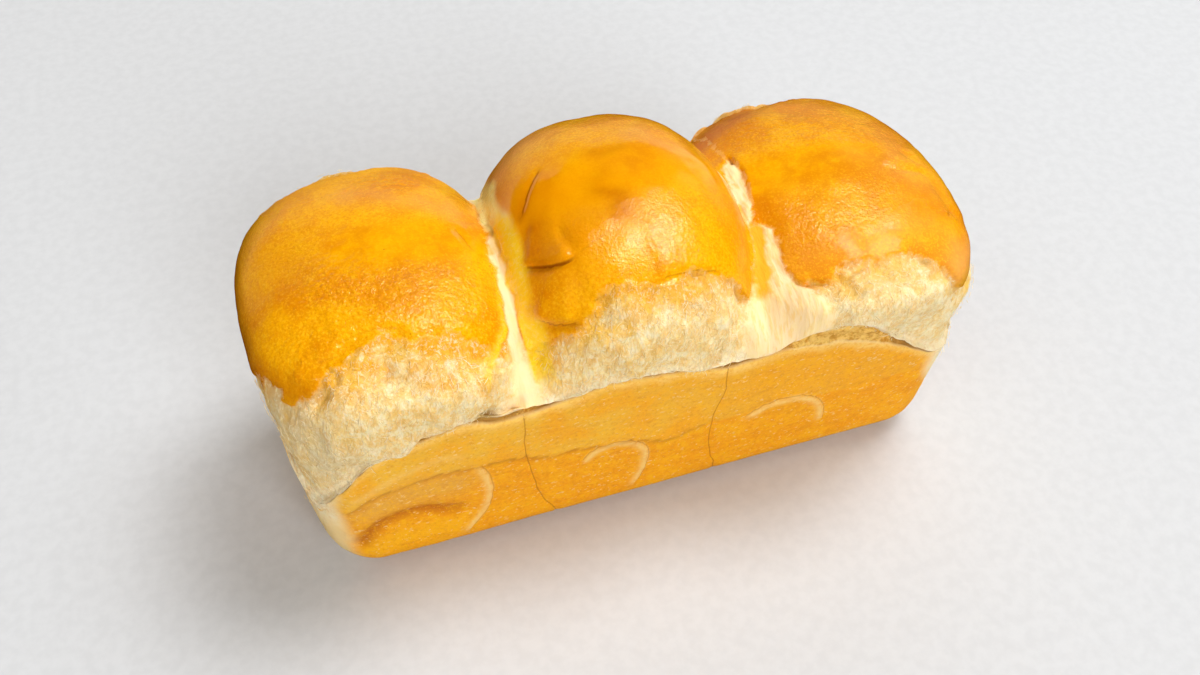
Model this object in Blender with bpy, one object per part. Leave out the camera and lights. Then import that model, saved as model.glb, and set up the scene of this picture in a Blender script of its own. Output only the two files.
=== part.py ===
"""A three-humped milk bread loaf, baked in an open tin.

The loaf is one closed skin in metres, +Z up, with its origin at the middle of its base. X runs along the
loaf and -Y is the side with the dough pieces' rolled ends. Below the tear the skin has the tin's shape:
a flat base, leaning walls and round corners. Above the tear the dough swelled out over the rim of the
tin into three humps, which meet in two valleys. Folds, seams and rims are relief on that skin.
"""
from itertools import product

import bmesh
import bpy
import numpy as np

# The part that the tin shaped. The corners are tighter where the walls roll under to the base
BASE_LENGTH = 0.1912
BASE_WIDTH = 0.0697
WALL_LEAN = 0.094
CORNER_RADIUS = 0.015
END_BOTTOM_RADIUS = 0.0142
SIDE_BOTTOM_RADIUS = 0.012
CORNER_TIGHTENING = 0.009
TEAR_HEIGHT = 0.0660

# The three humps: middle, half length, half width, top and how full the dome's shoulders are
HUMPS = (
    dict(x=-0.0684, y=0.0010, half_length=0.0351, half_width=0.0450, top=0.0970, fullness=2.2),
    dict(x=-0.0011, y=0.0000, half_length=0.0355, half_width=0.0430, top=0.1060, fullness=2.2),
    dict(x=0.0626, y=-0.0030, half_length=0.0353, half_width=0.0445, top=0.0935, fullness=1.95),
)
HUMP_WAIST = 0.0795
UNDERSIDE_STRETCH = 2.5

# The humps' plan is rounder at the top than near the tear, where they still press on each other
TOP_SQUARENESS = 2.3
LOW_SQUARENESS = 3.3
SQUARE_BELOW = 0.070
ROUND_ABOVE = 0.090

# The webs of stretched dough in the two valleys
WEBS = (
    dict(x=-0.0345, half_length=0.013, half_width=0.0420, top=0.0780),
    dict(x=0.0355, half_length=0.019, half_width=0.0430, top=0.0810),
)
WEB_FOOT = 0.058
WEB_FULLNESS = 2.8

# The dough just above the tin's rim, which still has the tin's plan
SHOULDER_TOP = 0.0720
SHOULDER_ROUND = 0.010
SHOULDER_INSET = 0.0012
BLEND = 0.0014

# Where the dough left the tin, along the -Y side: (x, height of the browned wall, gap up to the lip)
TEAR_LINE = (
    (-0.100, 0.0400, 0.0006),
    (-0.091, 0.0480, 0.0006),
    (-0.083, 0.0570, 0.0008),
    (-0.072, 0.0640, 0.0010),
    (-0.056, 0.0665, 0.0012),
    (-0.046, 0.0640, 0.0020),
    (-0.038, 0.0645, 0.0030),
    (-0.030, 0.0665, 0.0010),
    (-0.015, 0.0690, 0.0010),
    (0.010, 0.0665, 0.0010),
    (0.024, 0.0610, 0.0012),
    (0.034, 0.0635, 0.0020),
    (0.043, 0.0630, 0.0070),
    (0.050, 0.0615, 0.0120),
    (0.056, 0.0600, 0.0132),
    (0.062, 0.0580, 0.0098),
    (0.068, 0.0560, 0.0044),
    (0.075, 0.0520, 0.0020),
    (0.083, 0.0455, 0.0018),
    (0.100, 0.0400, 0.0006),
)
END_TEAR_HEIGHT = 0.061
LINE_SOFTENING = 0.003

# Raggedness of the tear: height, cell and seed of the noise
RAGGED_TEAR = ((0.0010, 0.014, 5), (0.0005, 0.006, 6))

# How far round the corner, as parts of half the width, a side's values give way to the end's
END_STARTS = 0.75
END_FULL = 0.98
BACK_BLEND = 0.3

# The torn lip that overhangs the walls
LIP_RADIUS = 0.0032
LIP_LEAST = 0.0004
NOTCH_DEPTH = 0.0018
NOTCH_ROWS = (0.35, 0.90)
CORNER_CORE = 0.006
CORNER_REACH = 0.026

# The browned crust stands a little proud of the pale sides. Its rim along the -Y side is given as the
# angle at which it is seen from the loaf's core: (x, degrees above level)
CRUST_RIM = (
    (-0.102, 33.0),
    (-0.093, 34.0),
    (-0.087, 46.0),
    (-0.062, 50.0),
    (-0.041, 41.0),
    (-0.026, 43.0),
    (-0.010, 49.0),
    (0.018, 49.0),
    (0.028, 38.0),
    (0.040, 38.0),
    (0.055, 42.0),
    (0.070, 42.0),
    (0.078, 37.0),
    (0.094, 22.0),
    (0.102, 22.0),
)
END_RIM_ANGLES = (34.0, 22.0)
RIM_STEP = 0.0006
RIM_SOFTNESS = 5.0
RIM_RAGGED_ANGLE = 1.5
RIM_RAGGED_CELL = 0.016

# Creases and folds of the crust: a path on the skin, how far one side is raised, and the groove
FOLDS = (
    dict(path=((-0.030, -0.015, 0.092), (-0.024, -0.021, 0.096), (-0.018, -0.023, 0.099),
               (-0.012, -0.020, 0.102), (-0.002, -0.015, 0.104)), raised=0.0018, depth=0.0020, width=0.0036),
    dict(path=((-0.031, -0.024, 0.085), (-0.026, -0.031, 0.085), (-0.020, -0.035, 0.087)),
         raised=0.0010, depth=0.0012, width=0.0030),
    dict(path=((-0.045, 0.006, 0.093), (-0.041, -0.005, 0.091)), raised=0.0004, depth=0.0007, width=0.0030),
    dict(path=((-0.017, 0.010, 0.103), (-0.023, 0.003, 0.101), (-0.029, -0.003, 0.097)),
         raised=0.0004, depth=0.0008, width=0.0030),
    dict(path=((0.077, -0.006, 0.092), (0.083, -0.017, 0.090), (0.087, -0.026, 0.085)),
         raised=0.0004, depth=0.0007, width=0.0030),
)
FOLD_FADE = 0.010

# Soft hollows in the humps: middle, radius and depth
HOLLOWS = (
    ((-0.0250, -0.0150, 0.0970), 0.0075, 0.0020),
    ((-0.0120, -0.0080, 0.1040), 0.0090, 0.0010),
    ((-0.0850, 0.0060, 0.0900), 0.0120, 0.0012),
    ((0.0380, -0.0300, 0.0860), 0.0090, 0.0012),
)

# Lines pressed into the -Y wall, as (x, height): where two dough pieces met, and the edges of the
# rolled dough's ends
SEAMS = (
    ((-0.0389, 0.066), (-0.0391, 0.045), (-0.0366, 0.031), (-0.0330, 0.016), (-0.0285, 0.002),
     (-0.0280, -0.003)),
    ((0.0190, 0.066), (0.0197, 0.050), (0.0176, 0.041), (0.0173, 0.025), (0.0201, 0.015), (0.0225, -0.003)),
)
ROLL_EDGES = (
    ((-0.0916, 0.037), (-0.0823, 0.044), (-0.0663, 0.047), (-0.0465, 0.046), (-0.0332, 0.041),
     (-0.0141, 0.040), (-0.0016, 0.036), (0.0062, 0.034), (0.0130, 0.037), (0.0170, 0.037)),
    ((-0.0540, 0.046), (-0.0498, 0.042), (-0.0482, 0.034), (-0.0490, 0.025), (-0.0523, 0.018),
     (-0.0578, 0.010)),
    ((-0.0226, 0.031), (-0.0214, 0.036), (-0.0166, 0.040), (-0.0116, 0.040), (-0.0054, 0.037),
     (-0.0016, 0.031), (-0.0016, 0.024), (-0.0060, 0.011)),
    ((0.0263, 0.034), (0.0317, 0.037), (0.0416, 0.039), (0.0515, 0.035), (0.0545, 0.029), (0.0556, 0.020)),
)
SEAM_DEPTH = 0.0014
SEAM_WIDTH = 0.0022
ROLL_EDGE_DEPTH = 0.0009
ROLL_EDGE_WIDTH = 0.0026
# The hollow under the rolled end at the left
WALL_HOLLOW = ((-0.0873, 0.019), (-0.0811, 0.028), (-0.0763, 0.030), (-0.0702, 0.030), (-0.0600, 0.026))
WALL_HOLLOW_DEPTH = 0.0013
WALL_HOLLOW_WIDTH = 0.0032
# Where these marks start and are full, across the loaf
WALL_FACE_STARTS = 0.026
WALL_FACE_FULL = 0.032

# Soft unevenness of the humps and of the walls: height, cell and seed of the noise. The humps' relief
# starts a little way above the tear
HUMP_UNEVENNESS = (0.0010, 0.028, 21)
WALL_UNEVENNESS = (0.0004, 0.034, 22)
HUMP_RELIEF_STARTS = 0.004
HUMP_RELIEF_FULL = 0.010

# The axis inside the loaf from which the humps' skin is found
CORE_END_GAP = 0.030
CORE_HALF_WIDTH = 0.008
CORE_HEIGHT = 0.055
SIDE_TOP_ANGLE = np.radians(52.0)
SEARCH_REACH = 0.120
SEARCH_STEPS = 22

# How finely the skin is divided
CROWDED_COLUMNS = (-0.0355, 0.0220, 0.0350)
CROWDED_WIDTH = 0.0060
COLUMN_CROWDING = 1.5
COLUMNS = 52
ROWS_DEEP = 18
LEVELS_ROLL = 3
LEVELS_WALL = 12
LEVELS_LIP = 6
LEVELS_HUMP = 10
LEVELS = LEVELS_ROLL + LEVELS_WALL + LEVELS_LIP + LEVELS_HUMP


def smooth_step(value, low, high):
    """Rises from 0 at low to 1 at high, level at both ends."""
    part = np.clip((value - low) / (high - low), 0.0, 1.0)
    return part * part * (3.0 - 2.0 * part)


def smooth_noise(points, cell, seed):
    """Soft unevenness between -1 and 1, with humps about as wide as a cell."""
    size = 32
    lattice = np.random.default_rng(seed).uniform(-1.0, 1.0, (size, size, size))
    scaled = points / cell
    base = np.floor(scaled).astype(int)
    part = scaled - base
    part = part * part * (3.0 - 2.0 * part)
    total = np.zeros(len(points))
    for corner in product((0, 1), repeat=3):
        weight = np.prod(np.where(corner, part, 1.0 - part), axis=1)
        i, j, k = ((base + corner) % size).T
        total += weight * lattice[i, j, k]
    return total


def wall_half_sizes(height):
    """Half the length and half the width between the tin's walls at a height."""
    lean = WALL_LEAN * height
    return BASE_LENGTH / 2 + lean, BASE_WIDTH / 2 + lean


def round_rectangle(u, v, half_length, half_width, radius):
    """Plan position, and outward direction, of a point (u, v) of the square from -1 to 1."""
    x = u * half_length
    y = v * half_width
    core_x = np.clip(x, radius - half_length, half_length - radius)
    core_y = np.clip(y, radius - half_width, half_width - radius)
    out_x = x - core_x
    out_y = y - core_y
    reach = np.maximum(np.hypot(out_x, out_y), 1e-9)
    square_to_round = np.maximum(np.abs(out_x), np.abs(out_y)) / reach
    place = np.stack([core_x + out_x * square_to_round, core_y + out_y * square_to_round], axis=1)
    outward = np.stack([out_x / reach, out_y / reach], axis=1)
    return place, outward


def corner_nearness(plan):
    """1 at the loaf's four upright corners, falling to 0 a little way along the walls."""
    half_length, half_width = wall_half_sizes(TEAR_HEIGHT)
    to_corner = np.hypot(np.abs(plan[:, 0]) - half_length, np.abs(plan[:, 1]) - half_width)
    return 1.0 - smooth_step(to_corner, CORNER_CORE, CORNER_REACH)


def soft_line(x, line, column):
    """A column of a list of points, read along x with its corners rounded off."""
    places = np.array([point[0] for point in line])
    values = np.array([point[column] for point in line])
    total = np.zeros(len(x))
    for step in (-1.0, -0.5, 0.0, 0.5, 1.0):
        total += np.interp(x + step * LINE_SOFTENING, places, values)
    return total / 5


def front_back_end(plan, front_value, back_value, end_value):
    """Blends values that belong to the -Y side, the +Y side and the two ends of the loaf."""
    half_length, half_width = wall_half_sizes(TEAR_HEIGHT)
    past_core = np.abs(plan[:, 0]) - (half_length - half_width)
    on_end = smooth_step(past_core / half_width, END_STARTS, END_FULL)
    on_back = smooth_step(plan[:, 1] / half_width, -BACK_BLEND, BACK_BLEND)
    side_value = front_value + (back_value - front_value) * on_back
    return side_value + (end_value - side_value) * on_end


def tear_height(plan):
    """Height at which the browned wall ends, for points of the wall's plan."""
    front = soft_line(plan[:, 0], TEAR_LINE, 1)
    back = soft_line(-plan[:, 0], TEAR_LINE, 1)
    corner_height = TEAR_LINE[0][1]
    end = END_TEAR_HEIGHT + (corner_height - END_TEAR_HEIGHT) * corner_nearness(plan)
    height = front_back_end(plan, front, back, end)
    flat = np.column_stack([plan, np.zeros(len(plan))])
    for size, cell, seed in RAGGED_TEAR:
        height += size * smooth_noise(flat, cell, seed)
    return height


def lip_gap(plan):
    """Height of the recessed gap between the browned wall and the lip."""
    front = soft_line(plan[:, 0], TEAR_LINE, 2)
    back = soft_line(-plan[:, 0], TEAR_LINE, 2)
    return front_back_end(plan, front, back, TEAR_LINE[0][2])


def ellipsoid_field(points, middle, halves, plan_power, fullness, stretch_below):
    """Roughly the distance outside a squarish dome; negative inside."""
    offset = points - middle
    rise = np.where(offset[:, 2] > 0, halves[2], halves[2] * stretch_below)
    plan = (np.abs(offset[:, 0] / halves[0]) ** plan_power + np.abs(offset[:, 1] / halves[1]) ** plan_power)
    size = (plan ** (fullness / plan_power) + np.abs(offset[:, 2] / rise) ** fullness) ** (1.0 / fullness)
    return (size - 1.0) * halves[0]


def shoulder_field(points):
    """Distance outside the tin-shaped dough just above the rim."""
    half_length, half_width = wall_half_sizes(points[:, 2])
    inner_x = half_length - SHOULDER_INSET - CORNER_RADIUS
    inner_y = half_width - SHOULDER_INSET - CORNER_RADIUS
    over_x = np.abs(points[:, 0]) - inner_x
    over_y = np.abs(points[:, 1]) - inner_y
    outside = np.hypot(np.maximum(over_x, 0.0), np.maximum(over_y, 0.0))
    sideways = outside + np.minimum(np.maximum(over_x, over_y), 0.0) - CORNER_RADIUS + SHOULDER_ROUND
    upwards = points[:, 2] - SHOULDER_TOP + SHOULDER_ROUND
    outside = np.hypot(np.maximum(sideways, 0.0), np.maximum(upwards, 0.0))
    return outside + np.minimum(np.maximum(sideways, upwards), 0.0) - SHOULDER_ROUND


def dough_field(points):
    """Roughly the distance outside the dough above the tear, with all its lumps run together."""
    fields = [shoulder_field(points)]
    low = 1.0 - smooth_step(points[:, 2], SQUARE_BELOW, ROUND_ABOVE)
    squareness = TOP_SQUARENESS + (LOW_SQUARENESS - TOP_SQUARENESS) * low
    for hump in HUMPS:
        middle = np.array([hump["x"], hump["y"], HUMP_WAIST])
        halves = (hump["half_length"], hump["half_width"], hump["top"] - HUMP_WAIST)
        fields.append(ellipsoid_field(points, middle, halves, squareness, hump["fullness"], UNDERSIDE_STRETCH))
    for web in WEBS:
        middle = np.array([web["x"], 0.0, WEB_FOOT])
        halves = (web["half_length"], web["half_width"], web["top"] - WEB_FOOT)
        fields.append(ellipsoid_field(points, middle, halves, WEB_FULLNESS, WEB_FULLNESS, 1.0))
    total = np.zeros(len(points))
    for field in fields:
        total += np.exp(-np.clip(field, -0.05, 0.05) / BLEND)
    return -BLEND * np.log(total)


def find_skin(starts, directions):
    """Where rays from inside the loaf cross the dough's surface."""
    near = np.zeros(len(starts))
    far = np.full(len(starts), SEARCH_REACH)
    for _ in range(SEARCH_STEPS):
        middle = (near + far) / 2
        inside = dough_field(starts + directions * middle[:, None]) < 0
        near = np.where(inside, middle, near)
        far = np.where(inside, far, middle)
    return starts + directions * ((near + far) / 2)[:, None]


def spread_columns(u):
    """Moves the columns closer together at the valleys and seams, where the skin is steep."""
    samples = np.linspace(-1.0, 1.0, 801)
    density = np.ones(len(samples))
    for x in CROWDED_COLUMNS:
        density += COLUMN_CROWDING * np.exp(-((samples * BASE_LENGTH / 2 - x) / CROWDED_WIDTH) ** 2)
    travelled = np.concatenate([[0.0], np.cumsum((density[1:] + density[:-1]) / 2)])
    return np.interp((u + 1.0) / 2, travelled / travelled[-1], samples)


def wall_points(u, v, level):
    """The base, the roll round its edge and the leaning walls."""
    turn = np.clip(level / LEVELS_ROLL, 0.0, 1.0) * np.pi / 2
    _, outward = round_rectangle(u, v, BASE_LENGTH / 2, BASE_WIDTH / 2, CORNER_RADIUS)
    roll = END_BOTTOM_RADIUS * outward[:, 0] ** 2 + SIDE_BOTTOM_RADIUS * outward[:, 1] ** 2
    rim_length, rim_width = wall_half_sizes(TEAR_HEIGHT)
    rim, _ = round_rectangle(u, v, rim_length, rim_width, CORNER_RADIUS)
    tear = tear_height(rim)
    up_wall = np.clip((level - LEVELS_ROLL) / LEVELS_WALL, 0.0, 1.0)
    height = roll * (1.0 - np.cos(turn)) + (tear - roll) * up_wall
    half_length, half_width = wall_half_sizes(height)
    tuck = 1.0 - np.sin(turn)
    half_length = half_length - END_BOTTOM_RADIUS * tuck
    half_width = half_width - SIDE_BOTTOM_RADIUS * tuck
    radius = CORNER_RADIUS - CORNER_TIGHTENING * tuck
    plan, outward = round_rectangle(u, v, half_length, half_width, radius)
    return np.column_stack([plan, height]), outward


def core_points(u, v):
    """Points on the flat strip inside the loaf from which the skin is looked for."""
    rim_length, _ = wall_half_sizes(TEAR_HEIGHT)
    x = np.clip(u * rim_length, CORE_END_GAP - rim_length, rim_length - CORE_END_GAP)
    return np.column_stack([x, v * CORE_HALF_WIDTH, np.full(len(u), CORE_HEIGHT)])


def lip_edge(u, v):
    """The outermost points of the torn lip, its underside's radius and height, and the way out."""
    top_of_wall, outward = wall_points(u, v, np.full(len(u), float(LEVELS_ROLL + LEVELS_WALL)))
    flat_out = np.column_stack([outward, np.zeros(len(u))])
    underside = top_of_wall[:, 2] + lip_gap(top_of_wall[:, :2])
    start = top_of_wall - flat_out * CORNER_RADIUS
    start[:, 2] = underside + LIP_RADIUS
    found = find_skin(start, flat_out)
    overhang = np.maximum(((found - top_of_wall) * flat_out).sum(axis=1), LIP_LEAST)
    radius = np.minimum(overhang, LIP_RADIUS)
    edge = top_of_wall + flat_out * overhang[:, None]
    edge[:, 2] = underside + radius
    return edge, radius, underside, flat_out


def lip_points(u, v, level):
    """The recessed gap above the browned wall, and the round underside of the lip over it."""
    edge, radius, underside, flat_out = lip_edge(u, v)
    step = level - LEVELS_ROLL - LEVELS_WALL
    arc_starts = len(NOTCH_ROWS) + 1
    angle = -np.pi / 2 * (1.0 - np.clip((step - arc_starts) / (LEVELS_LIP - arc_starts), 0.0, 1.0))
    points = edge - flat_out * (radius * (1.0 - np.cos(angle)))[:, None]
    points[:, 2] += radius * np.sin(angle)
    top_of_wall, _ = wall_points(u, v, np.full(len(u), float(LEVELS_ROLL + LEVELS_WALL)))
    depth = NOTCH_DEPTH * (1.0 - corner_nearness(top_of_wall[:, :2]))
    notch = top_of_wall - flat_out * depth[:, None]
    gap = underside - top_of_wall[:, 2]
    notch[:, 2] += gap * np.where(step < 1.5, NOTCH_ROWS[0], NOTCH_ROWS[1])
    return np.where((step < arc_starts)[:, None], notch, points)


def hump_points(u, v, level):
    """The skin above the lip, on the sides and over the top."""
    start = core_points(u, v)
    rim_length, _ = wall_half_sizes(TEAR_HEIGHT)
    lean_x = (u * rim_length - start[:, 0]) / CORE_END_GAP
    lean = np.maximum(np.abs(lean_x), np.abs(v)) / np.maximum(np.hypot(lean_x, v), 1e-9)
    lean /= np.tan(SIDE_TOP_ANGLE)
    direction = np.column_stack([lean_x * lean, v * lean, np.ones(len(u))])
    on_side = np.maximum(np.abs(u), np.abs(v)) > 1.0 - 1e-6
    edge, _, _, _ = lip_edge(u[on_side], v[on_side])
    reach = edge - start[on_side]
    flat_reach = np.hypot(reach[:, 0], reach[:, 1])
    low_angle = np.arctan2(reach[:, 2], flat_reach)
    first = LEVELS - LEVELS_HUMP
    part = (level[on_side] - first) / LEVELS_HUMP
    angle = low_angle + (SIDE_TOP_ANGLE - low_angle) * part
    direction[on_side, 0] = np.cos(angle) * reach[:, 0] / flat_reach
    direction[on_side, 1] = np.cos(angle) * reach[:, 1] / flat_reach
    direction[on_side, 2] = np.sin(angle)
    direction /= np.linalg.norm(direction, axis=1)[:, None]
    return find_skin(start, direction)


def loaf_points(grid):
    """Moves the points of a gridded cube, from -1 to 1 each way, onto the loaf."""
    u = spread_columns(grid[:, 0])
    v = grid[:, 1]
    level = np.round((grid[:, 2] + 1.0) / 2 * LEVELS)
    lip_starts = LEVELS_ROLL + LEVELS_WALL
    lip_ends = lip_starts + LEVELS_LIP
    points = np.zeros_like(grid)
    wall = level <= lip_starts
    lip = (level > lip_starts) & (level <= lip_ends)
    hump = level > lip_ends
    points[wall], _ = wall_points(u[wall], v[wall], level[wall])
    points[lip] = lip_points(u[lip], v[lip], level[lip])
    points[hump] = hump_points(u[hump], v[hump], level[hump])
    return points


def path_distance(points, path):
    """Distance from each point to a path of straight pieces, and which side of it the point is on."""
    path = np.array(path)
    nearest = np.full(len(points), np.inf)
    side = np.zeros(len(points))
    for start, end in zip(path[:-1], path[1:]):
        along = end - start
        part = np.clip((points - start) @ along / (along @ along), 0.0, 1.0)
        offset = points - start - part[:, None] * along
        distance = np.linalg.norm(offset, axis=1)
        turn = along[0] * offset[:, 1] - along[1] * offset[:, 0]
        closer = distance < nearest
        nearest = np.where(closer, distance, nearest)
        side = np.where(closer, np.sign(turn), side)
    return nearest, side


def rise_angle(points):
    """Angle above level, in degrees, at which a point is seen from the loaf's core."""
    rim_length, _ = wall_half_sizes(TEAR_HEIGHT)
    end = rim_length - CORE_END_GAP
    across = np.hypot(points[:, 0] - np.clip(points[:, 0], -end, end), points[:, 1])
    return np.degrees(np.arctan2(points[:, 2] - CORE_HEIGHT, across))


def crust_cover(points):
    """1 on the browned crust of the humps and 0 on the pale sides below its rim."""
    plan = points[:, :2]
    front = soft_line(plan[:, 0], CRUST_RIM, 1)
    back = soft_line(-plan[:, 0], CRUST_RIM, 1)
    end = np.where(plan[:, 0] < 0, END_RIM_ANGLES[0], END_RIM_ANGLES[1])
    rim = front_back_end(plan, front, back, end)
    rim += RIM_RAGGED_ANGLE * smooth_noise(points, RIM_RAGGED_CELL, 11)
    return smooth_step(rise_angle(points) - rim, -RIM_SOFTNESS, RIM_SOFTNESS)


def fold_relief(points):
    """Folds and hollows of the humps."""
    height = np.zeros(len(points))
    for fold in FOLDS:
        distance, side = path_distance(points, fold["path"])
        groove = -fold["depth"] * np.exp(-(distance / fold["width"]) ** 2)
        flap = fold["raised"] * np.exp(-(distance / FOLD_FADE) ** 2) * (side > 0)
        height += groove + flap
    for middle, radius, depth in HOLLOWS:
        distance = np.linalg.norm(points - np.array(middle), axis=1)
        height -= depth * np.exp(-(distance / radius) ** 2)
    return height


def wall_relief(points):
    """Seams between the dough pieces, the edges of their rolled ends and a hollow, on the walls."""
    height = np.zeros(len(points))
    for side in (-1.0, 1.0):
        flat = np.column_stack([-side * points[:, 0], points[:, 2]])
        facing = smooth_step(side * points[:, 1], WALL_FACE_STARTS, WALL_FACE_FULL)
        for path in SEAMS:
            distance, _ = path_distance(flat, path)
            height -= facing * SEAM_DEPTH * np.exp(-(distance / SEAM_WIDTH) ** 2)
        for path in ROLL_EDGES:
            distance, _ = path_distance(flat, path)
            height -= facing * ROLL_EDGE_DEPTH * np.exp(-(distance / ROLL_EDGE_WIDTH) ** 2)
        distance, _ = path_distance(flat, WALL_HOLLOW)
        height -= facing * WALL_HOLLOW_DEPTH * np.exp(-(distance / WALL_HOLLOW_WIDTH) ** 2)
    return height


def relief(points):
    """How far the skin stands out from its plain form, along its normal."""
    over_tear = points[:, 2] - tear_height(points[:, :2])
    above_tear = smooth_step(over_tear, HUMP_RELIEF_STARTS, HUMP_RELIEF_FULL)
    size, cell, seed = HUMP_UNEVENNESS
    humps = size * smooth_noise(points, cell, seed) + fold_relief(points) + RIM_STEP * crust_cover(points)
    size, cell, seed = WALL_UNEVENNESS
    walls = size * smooth_noise(points, cell, seed) + wall_relief(points)
    off_base = smooth_step(points[:, 2], 0.0, SIDE_BOTTOM_RADIUS)
    return above_tear * humps + (1.0 - above_tear) * off_base * walls


def gridded_cube(counts):
    """A cube from -1 to 1 with every face cut into a grid."""
    mesh = bmesh.new()
    bmesh.ops.create_cube(mesh, size=2.0)
    for axis, count in enumerate(counts):
        along = []
        for edge in mesh.edges:
            start, end = edge.verts
            if abs(start.co[axis] - end.co[axis]) > 1.0:
                along.append(edge)
        bmesh.ops.subdivide_edges(mesh, edges=along, cuts=count - 1, use_grid_fill=True)
    return mesh


def make_material(name, colour, roughness):
    material = bpy.data.materials.new(name)
    material.use_nodes = True
    shader = material.node_tree.nodes["Principled BSDF"]
    shader.inputs["Base Color"].default_value = (*colour, 1.0)
    shader.inputs["Roughness"].default_value = roughness
    shader.inputs["Metallic"].default_value = 0.0
    return material


def make_loaf(collection):
    skin = gridded_cube((COLUMNS, ROWS_DEEP, LEVELS))
    grid = np.array([vertex.co for vertex in skin.verts])
    points = loaf_points(grid)
    for vertex, place in zip(skin.verts, points):
        vertex.co = place
    bmesh.ops.recalc_face_normals(skin, faces=skin.faces)
    skin.normal_update()
    normals = np.array([vertex.normal for vertex in skin.verts])
    points += normals * relief(points)[:, None]
    points[:, :2] -= (points[:, :2].min(axis=0) + points[:, :2].max(axis=0)) / 2
    for vertex, place in zip(skin.verts, points):
        vertex.co = place
    base = [face for face in skin.faces if all(vertex.co.z < 1e-6 for vertex in face.verts)]
    bmesh.ops.dissolve_faces(skin, faces=base, use_verts=True)
    quads = [face for face in skin.faces if len(face.verts) == 4]
    bmesh.ops.triangulate(skin, faces=quads, quad_method="SHORT_EDGE")
    mesh = bpy.data.meshes.new("loaf")
    skin.to_mesh(mesh)
    skin.free()
    mesh.shade_smooth()
    loaf = bpy.data.objects.new("loaf", mesh)
    collection.objects.link(loaf)
    mesh.materials.append(make_material("crust", (0.80, 0.36, 0.03), 0.4))
    return loaf


def main():
    for thing in list(bpy.data.objects):
        bpy.data.objects.remove(thing, do_unlink=True)
    collection = bpy.data.collections.new("milk_bread")
    bpy.context.scene.collection.children.link(collection)
    make_loaf(collection)


main()
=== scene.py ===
"""The looks of a milk bread loaf with three humps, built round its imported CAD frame.

The visible skin is made from the same sizes as the CAD solid, on a finer grid and with finer relief, so
it lies on the solid. Each point of the skin also keeps how much of it is browned crust, cream strand,
tin-baked wall and so on. The one bread material mixes its colours and bumps by those values. Fibres of
torn crumb are a piece of their own. Sizes are in metres where a heading doesn't say millimetres.
"""
from itertools import product

import bpy
import numpy as np
from mathutils import Matrix, Vector


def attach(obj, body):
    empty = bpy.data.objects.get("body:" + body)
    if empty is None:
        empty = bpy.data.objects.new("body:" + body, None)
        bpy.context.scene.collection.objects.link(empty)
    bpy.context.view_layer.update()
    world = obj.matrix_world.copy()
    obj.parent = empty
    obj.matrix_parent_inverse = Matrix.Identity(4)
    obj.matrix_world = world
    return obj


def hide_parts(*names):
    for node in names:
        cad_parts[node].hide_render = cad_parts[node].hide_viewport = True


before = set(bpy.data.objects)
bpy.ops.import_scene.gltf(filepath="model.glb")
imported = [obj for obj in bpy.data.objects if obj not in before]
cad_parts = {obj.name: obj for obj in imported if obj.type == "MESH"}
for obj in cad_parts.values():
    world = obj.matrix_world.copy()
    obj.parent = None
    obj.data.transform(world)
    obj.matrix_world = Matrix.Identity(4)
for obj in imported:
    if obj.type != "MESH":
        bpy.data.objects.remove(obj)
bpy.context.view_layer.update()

# The part that the tin shaped. The corners are tighter where the walls roll under to the base
BASE_LENGTH = 0.1912
BASE_WIDTH = 0.0697
WALL_LEAN = 0.094
CORNER_RADIUS = 0.015
END_BOTTOM_RADIUS = 0.0142
SIDE_BOTTOM_RADIUS = 0.012
CORNER_TIGHTENING = 0.009
TEAR_HEIGHT = 0.0660

# The three humps: middle, half length, half width, top and how full the dome's shoulders are
HUMPS = (
    dict(x=-0.0684, y=0.0010, half_length=0.0351, half_width=0.0450, top=0.0970, fullness=2.2),
    dict(x=-0.0011, y=0.0000, half_length=0.0355, half_width=0.0430, top=0.1060, fullness=2.2),
    dict(x=0.0626, y=-0.0030, half_length=0.0353, half_width=0.0445, top=0.0935, fullness=1.95),
)
HUMP_WAIST = 0.0795
UNDERSIDE_STRETCH = 2.5

# The humps' plan is rounder at the top than near the tear, where they still press on each other
TOP_SQUARENESS = 2.3
LOW_SQUARENESS = 3.3
SQUARE_BELOW = 0.070
ROUND_ABOVE = 0.090

# The webs of stretched dough in the two valleys
WEBS = (
    dict(x=-0.0345, half_length=0.013, half_width=0.0420, top=0.0780),
    dict(x=0.0355, half_length=0.019, half_width=0.0430, top=0.0810),
)
WEB_FOOT = 0.058
WEB_FULLNESS = 2.8

# The dough just above the tin's rim, which still has the tin's plan
SHOULDER_TOP = 0.0720
SHOULDER_ROUND = 0.010
SHOULDER_INSET = 0.0012
BLEND = 0.0014

# Where the dough left the tin, along the -Y side: (x, height of the browned wall, gap up to the lip)
TEAR_LINE = (
    (-0.100, 0.0400, 0.0006),
    (-0.091, 0.0480, 0.0006),
    (-0.083, 0.0570, 0.0008),
    (-0.072, 0.0640, 0.0010),
    (-0.056, 0.0665, 0.0012),
    (-0.046, 0.0640, 0.0020),
    (-0.038, 0.0645, 0.0030),
    (-0.030, 0.0665, 0.0010),
    (-0.015, 0.0690, 0.0010),
    (0.010, 0.0665, 0.0010),
    (0.024, 0.0610, 0.0012),
    (0.034, 0.0635, 0.0020),
    (0.043, 0.0630, 0.0070),
    (0.050, 0.0615, 0.0120),
    (0.056, 0.0600, 0.0132),
    (0.062, 0.0580, 0.0098),
    (0.068, 0.0560, 0.0044),
    (0.075, 0.0520, 0.0020),
    (0.083, 0.0455, 0.0018),
    (0.100, 0.0400, 0.0006),
)
END_TEAR_HEIGHT = 0.061

# How far this line's corners are rounded off, and from how many samples
TEAR_SOFTENING = (0.003, 5)

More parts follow.
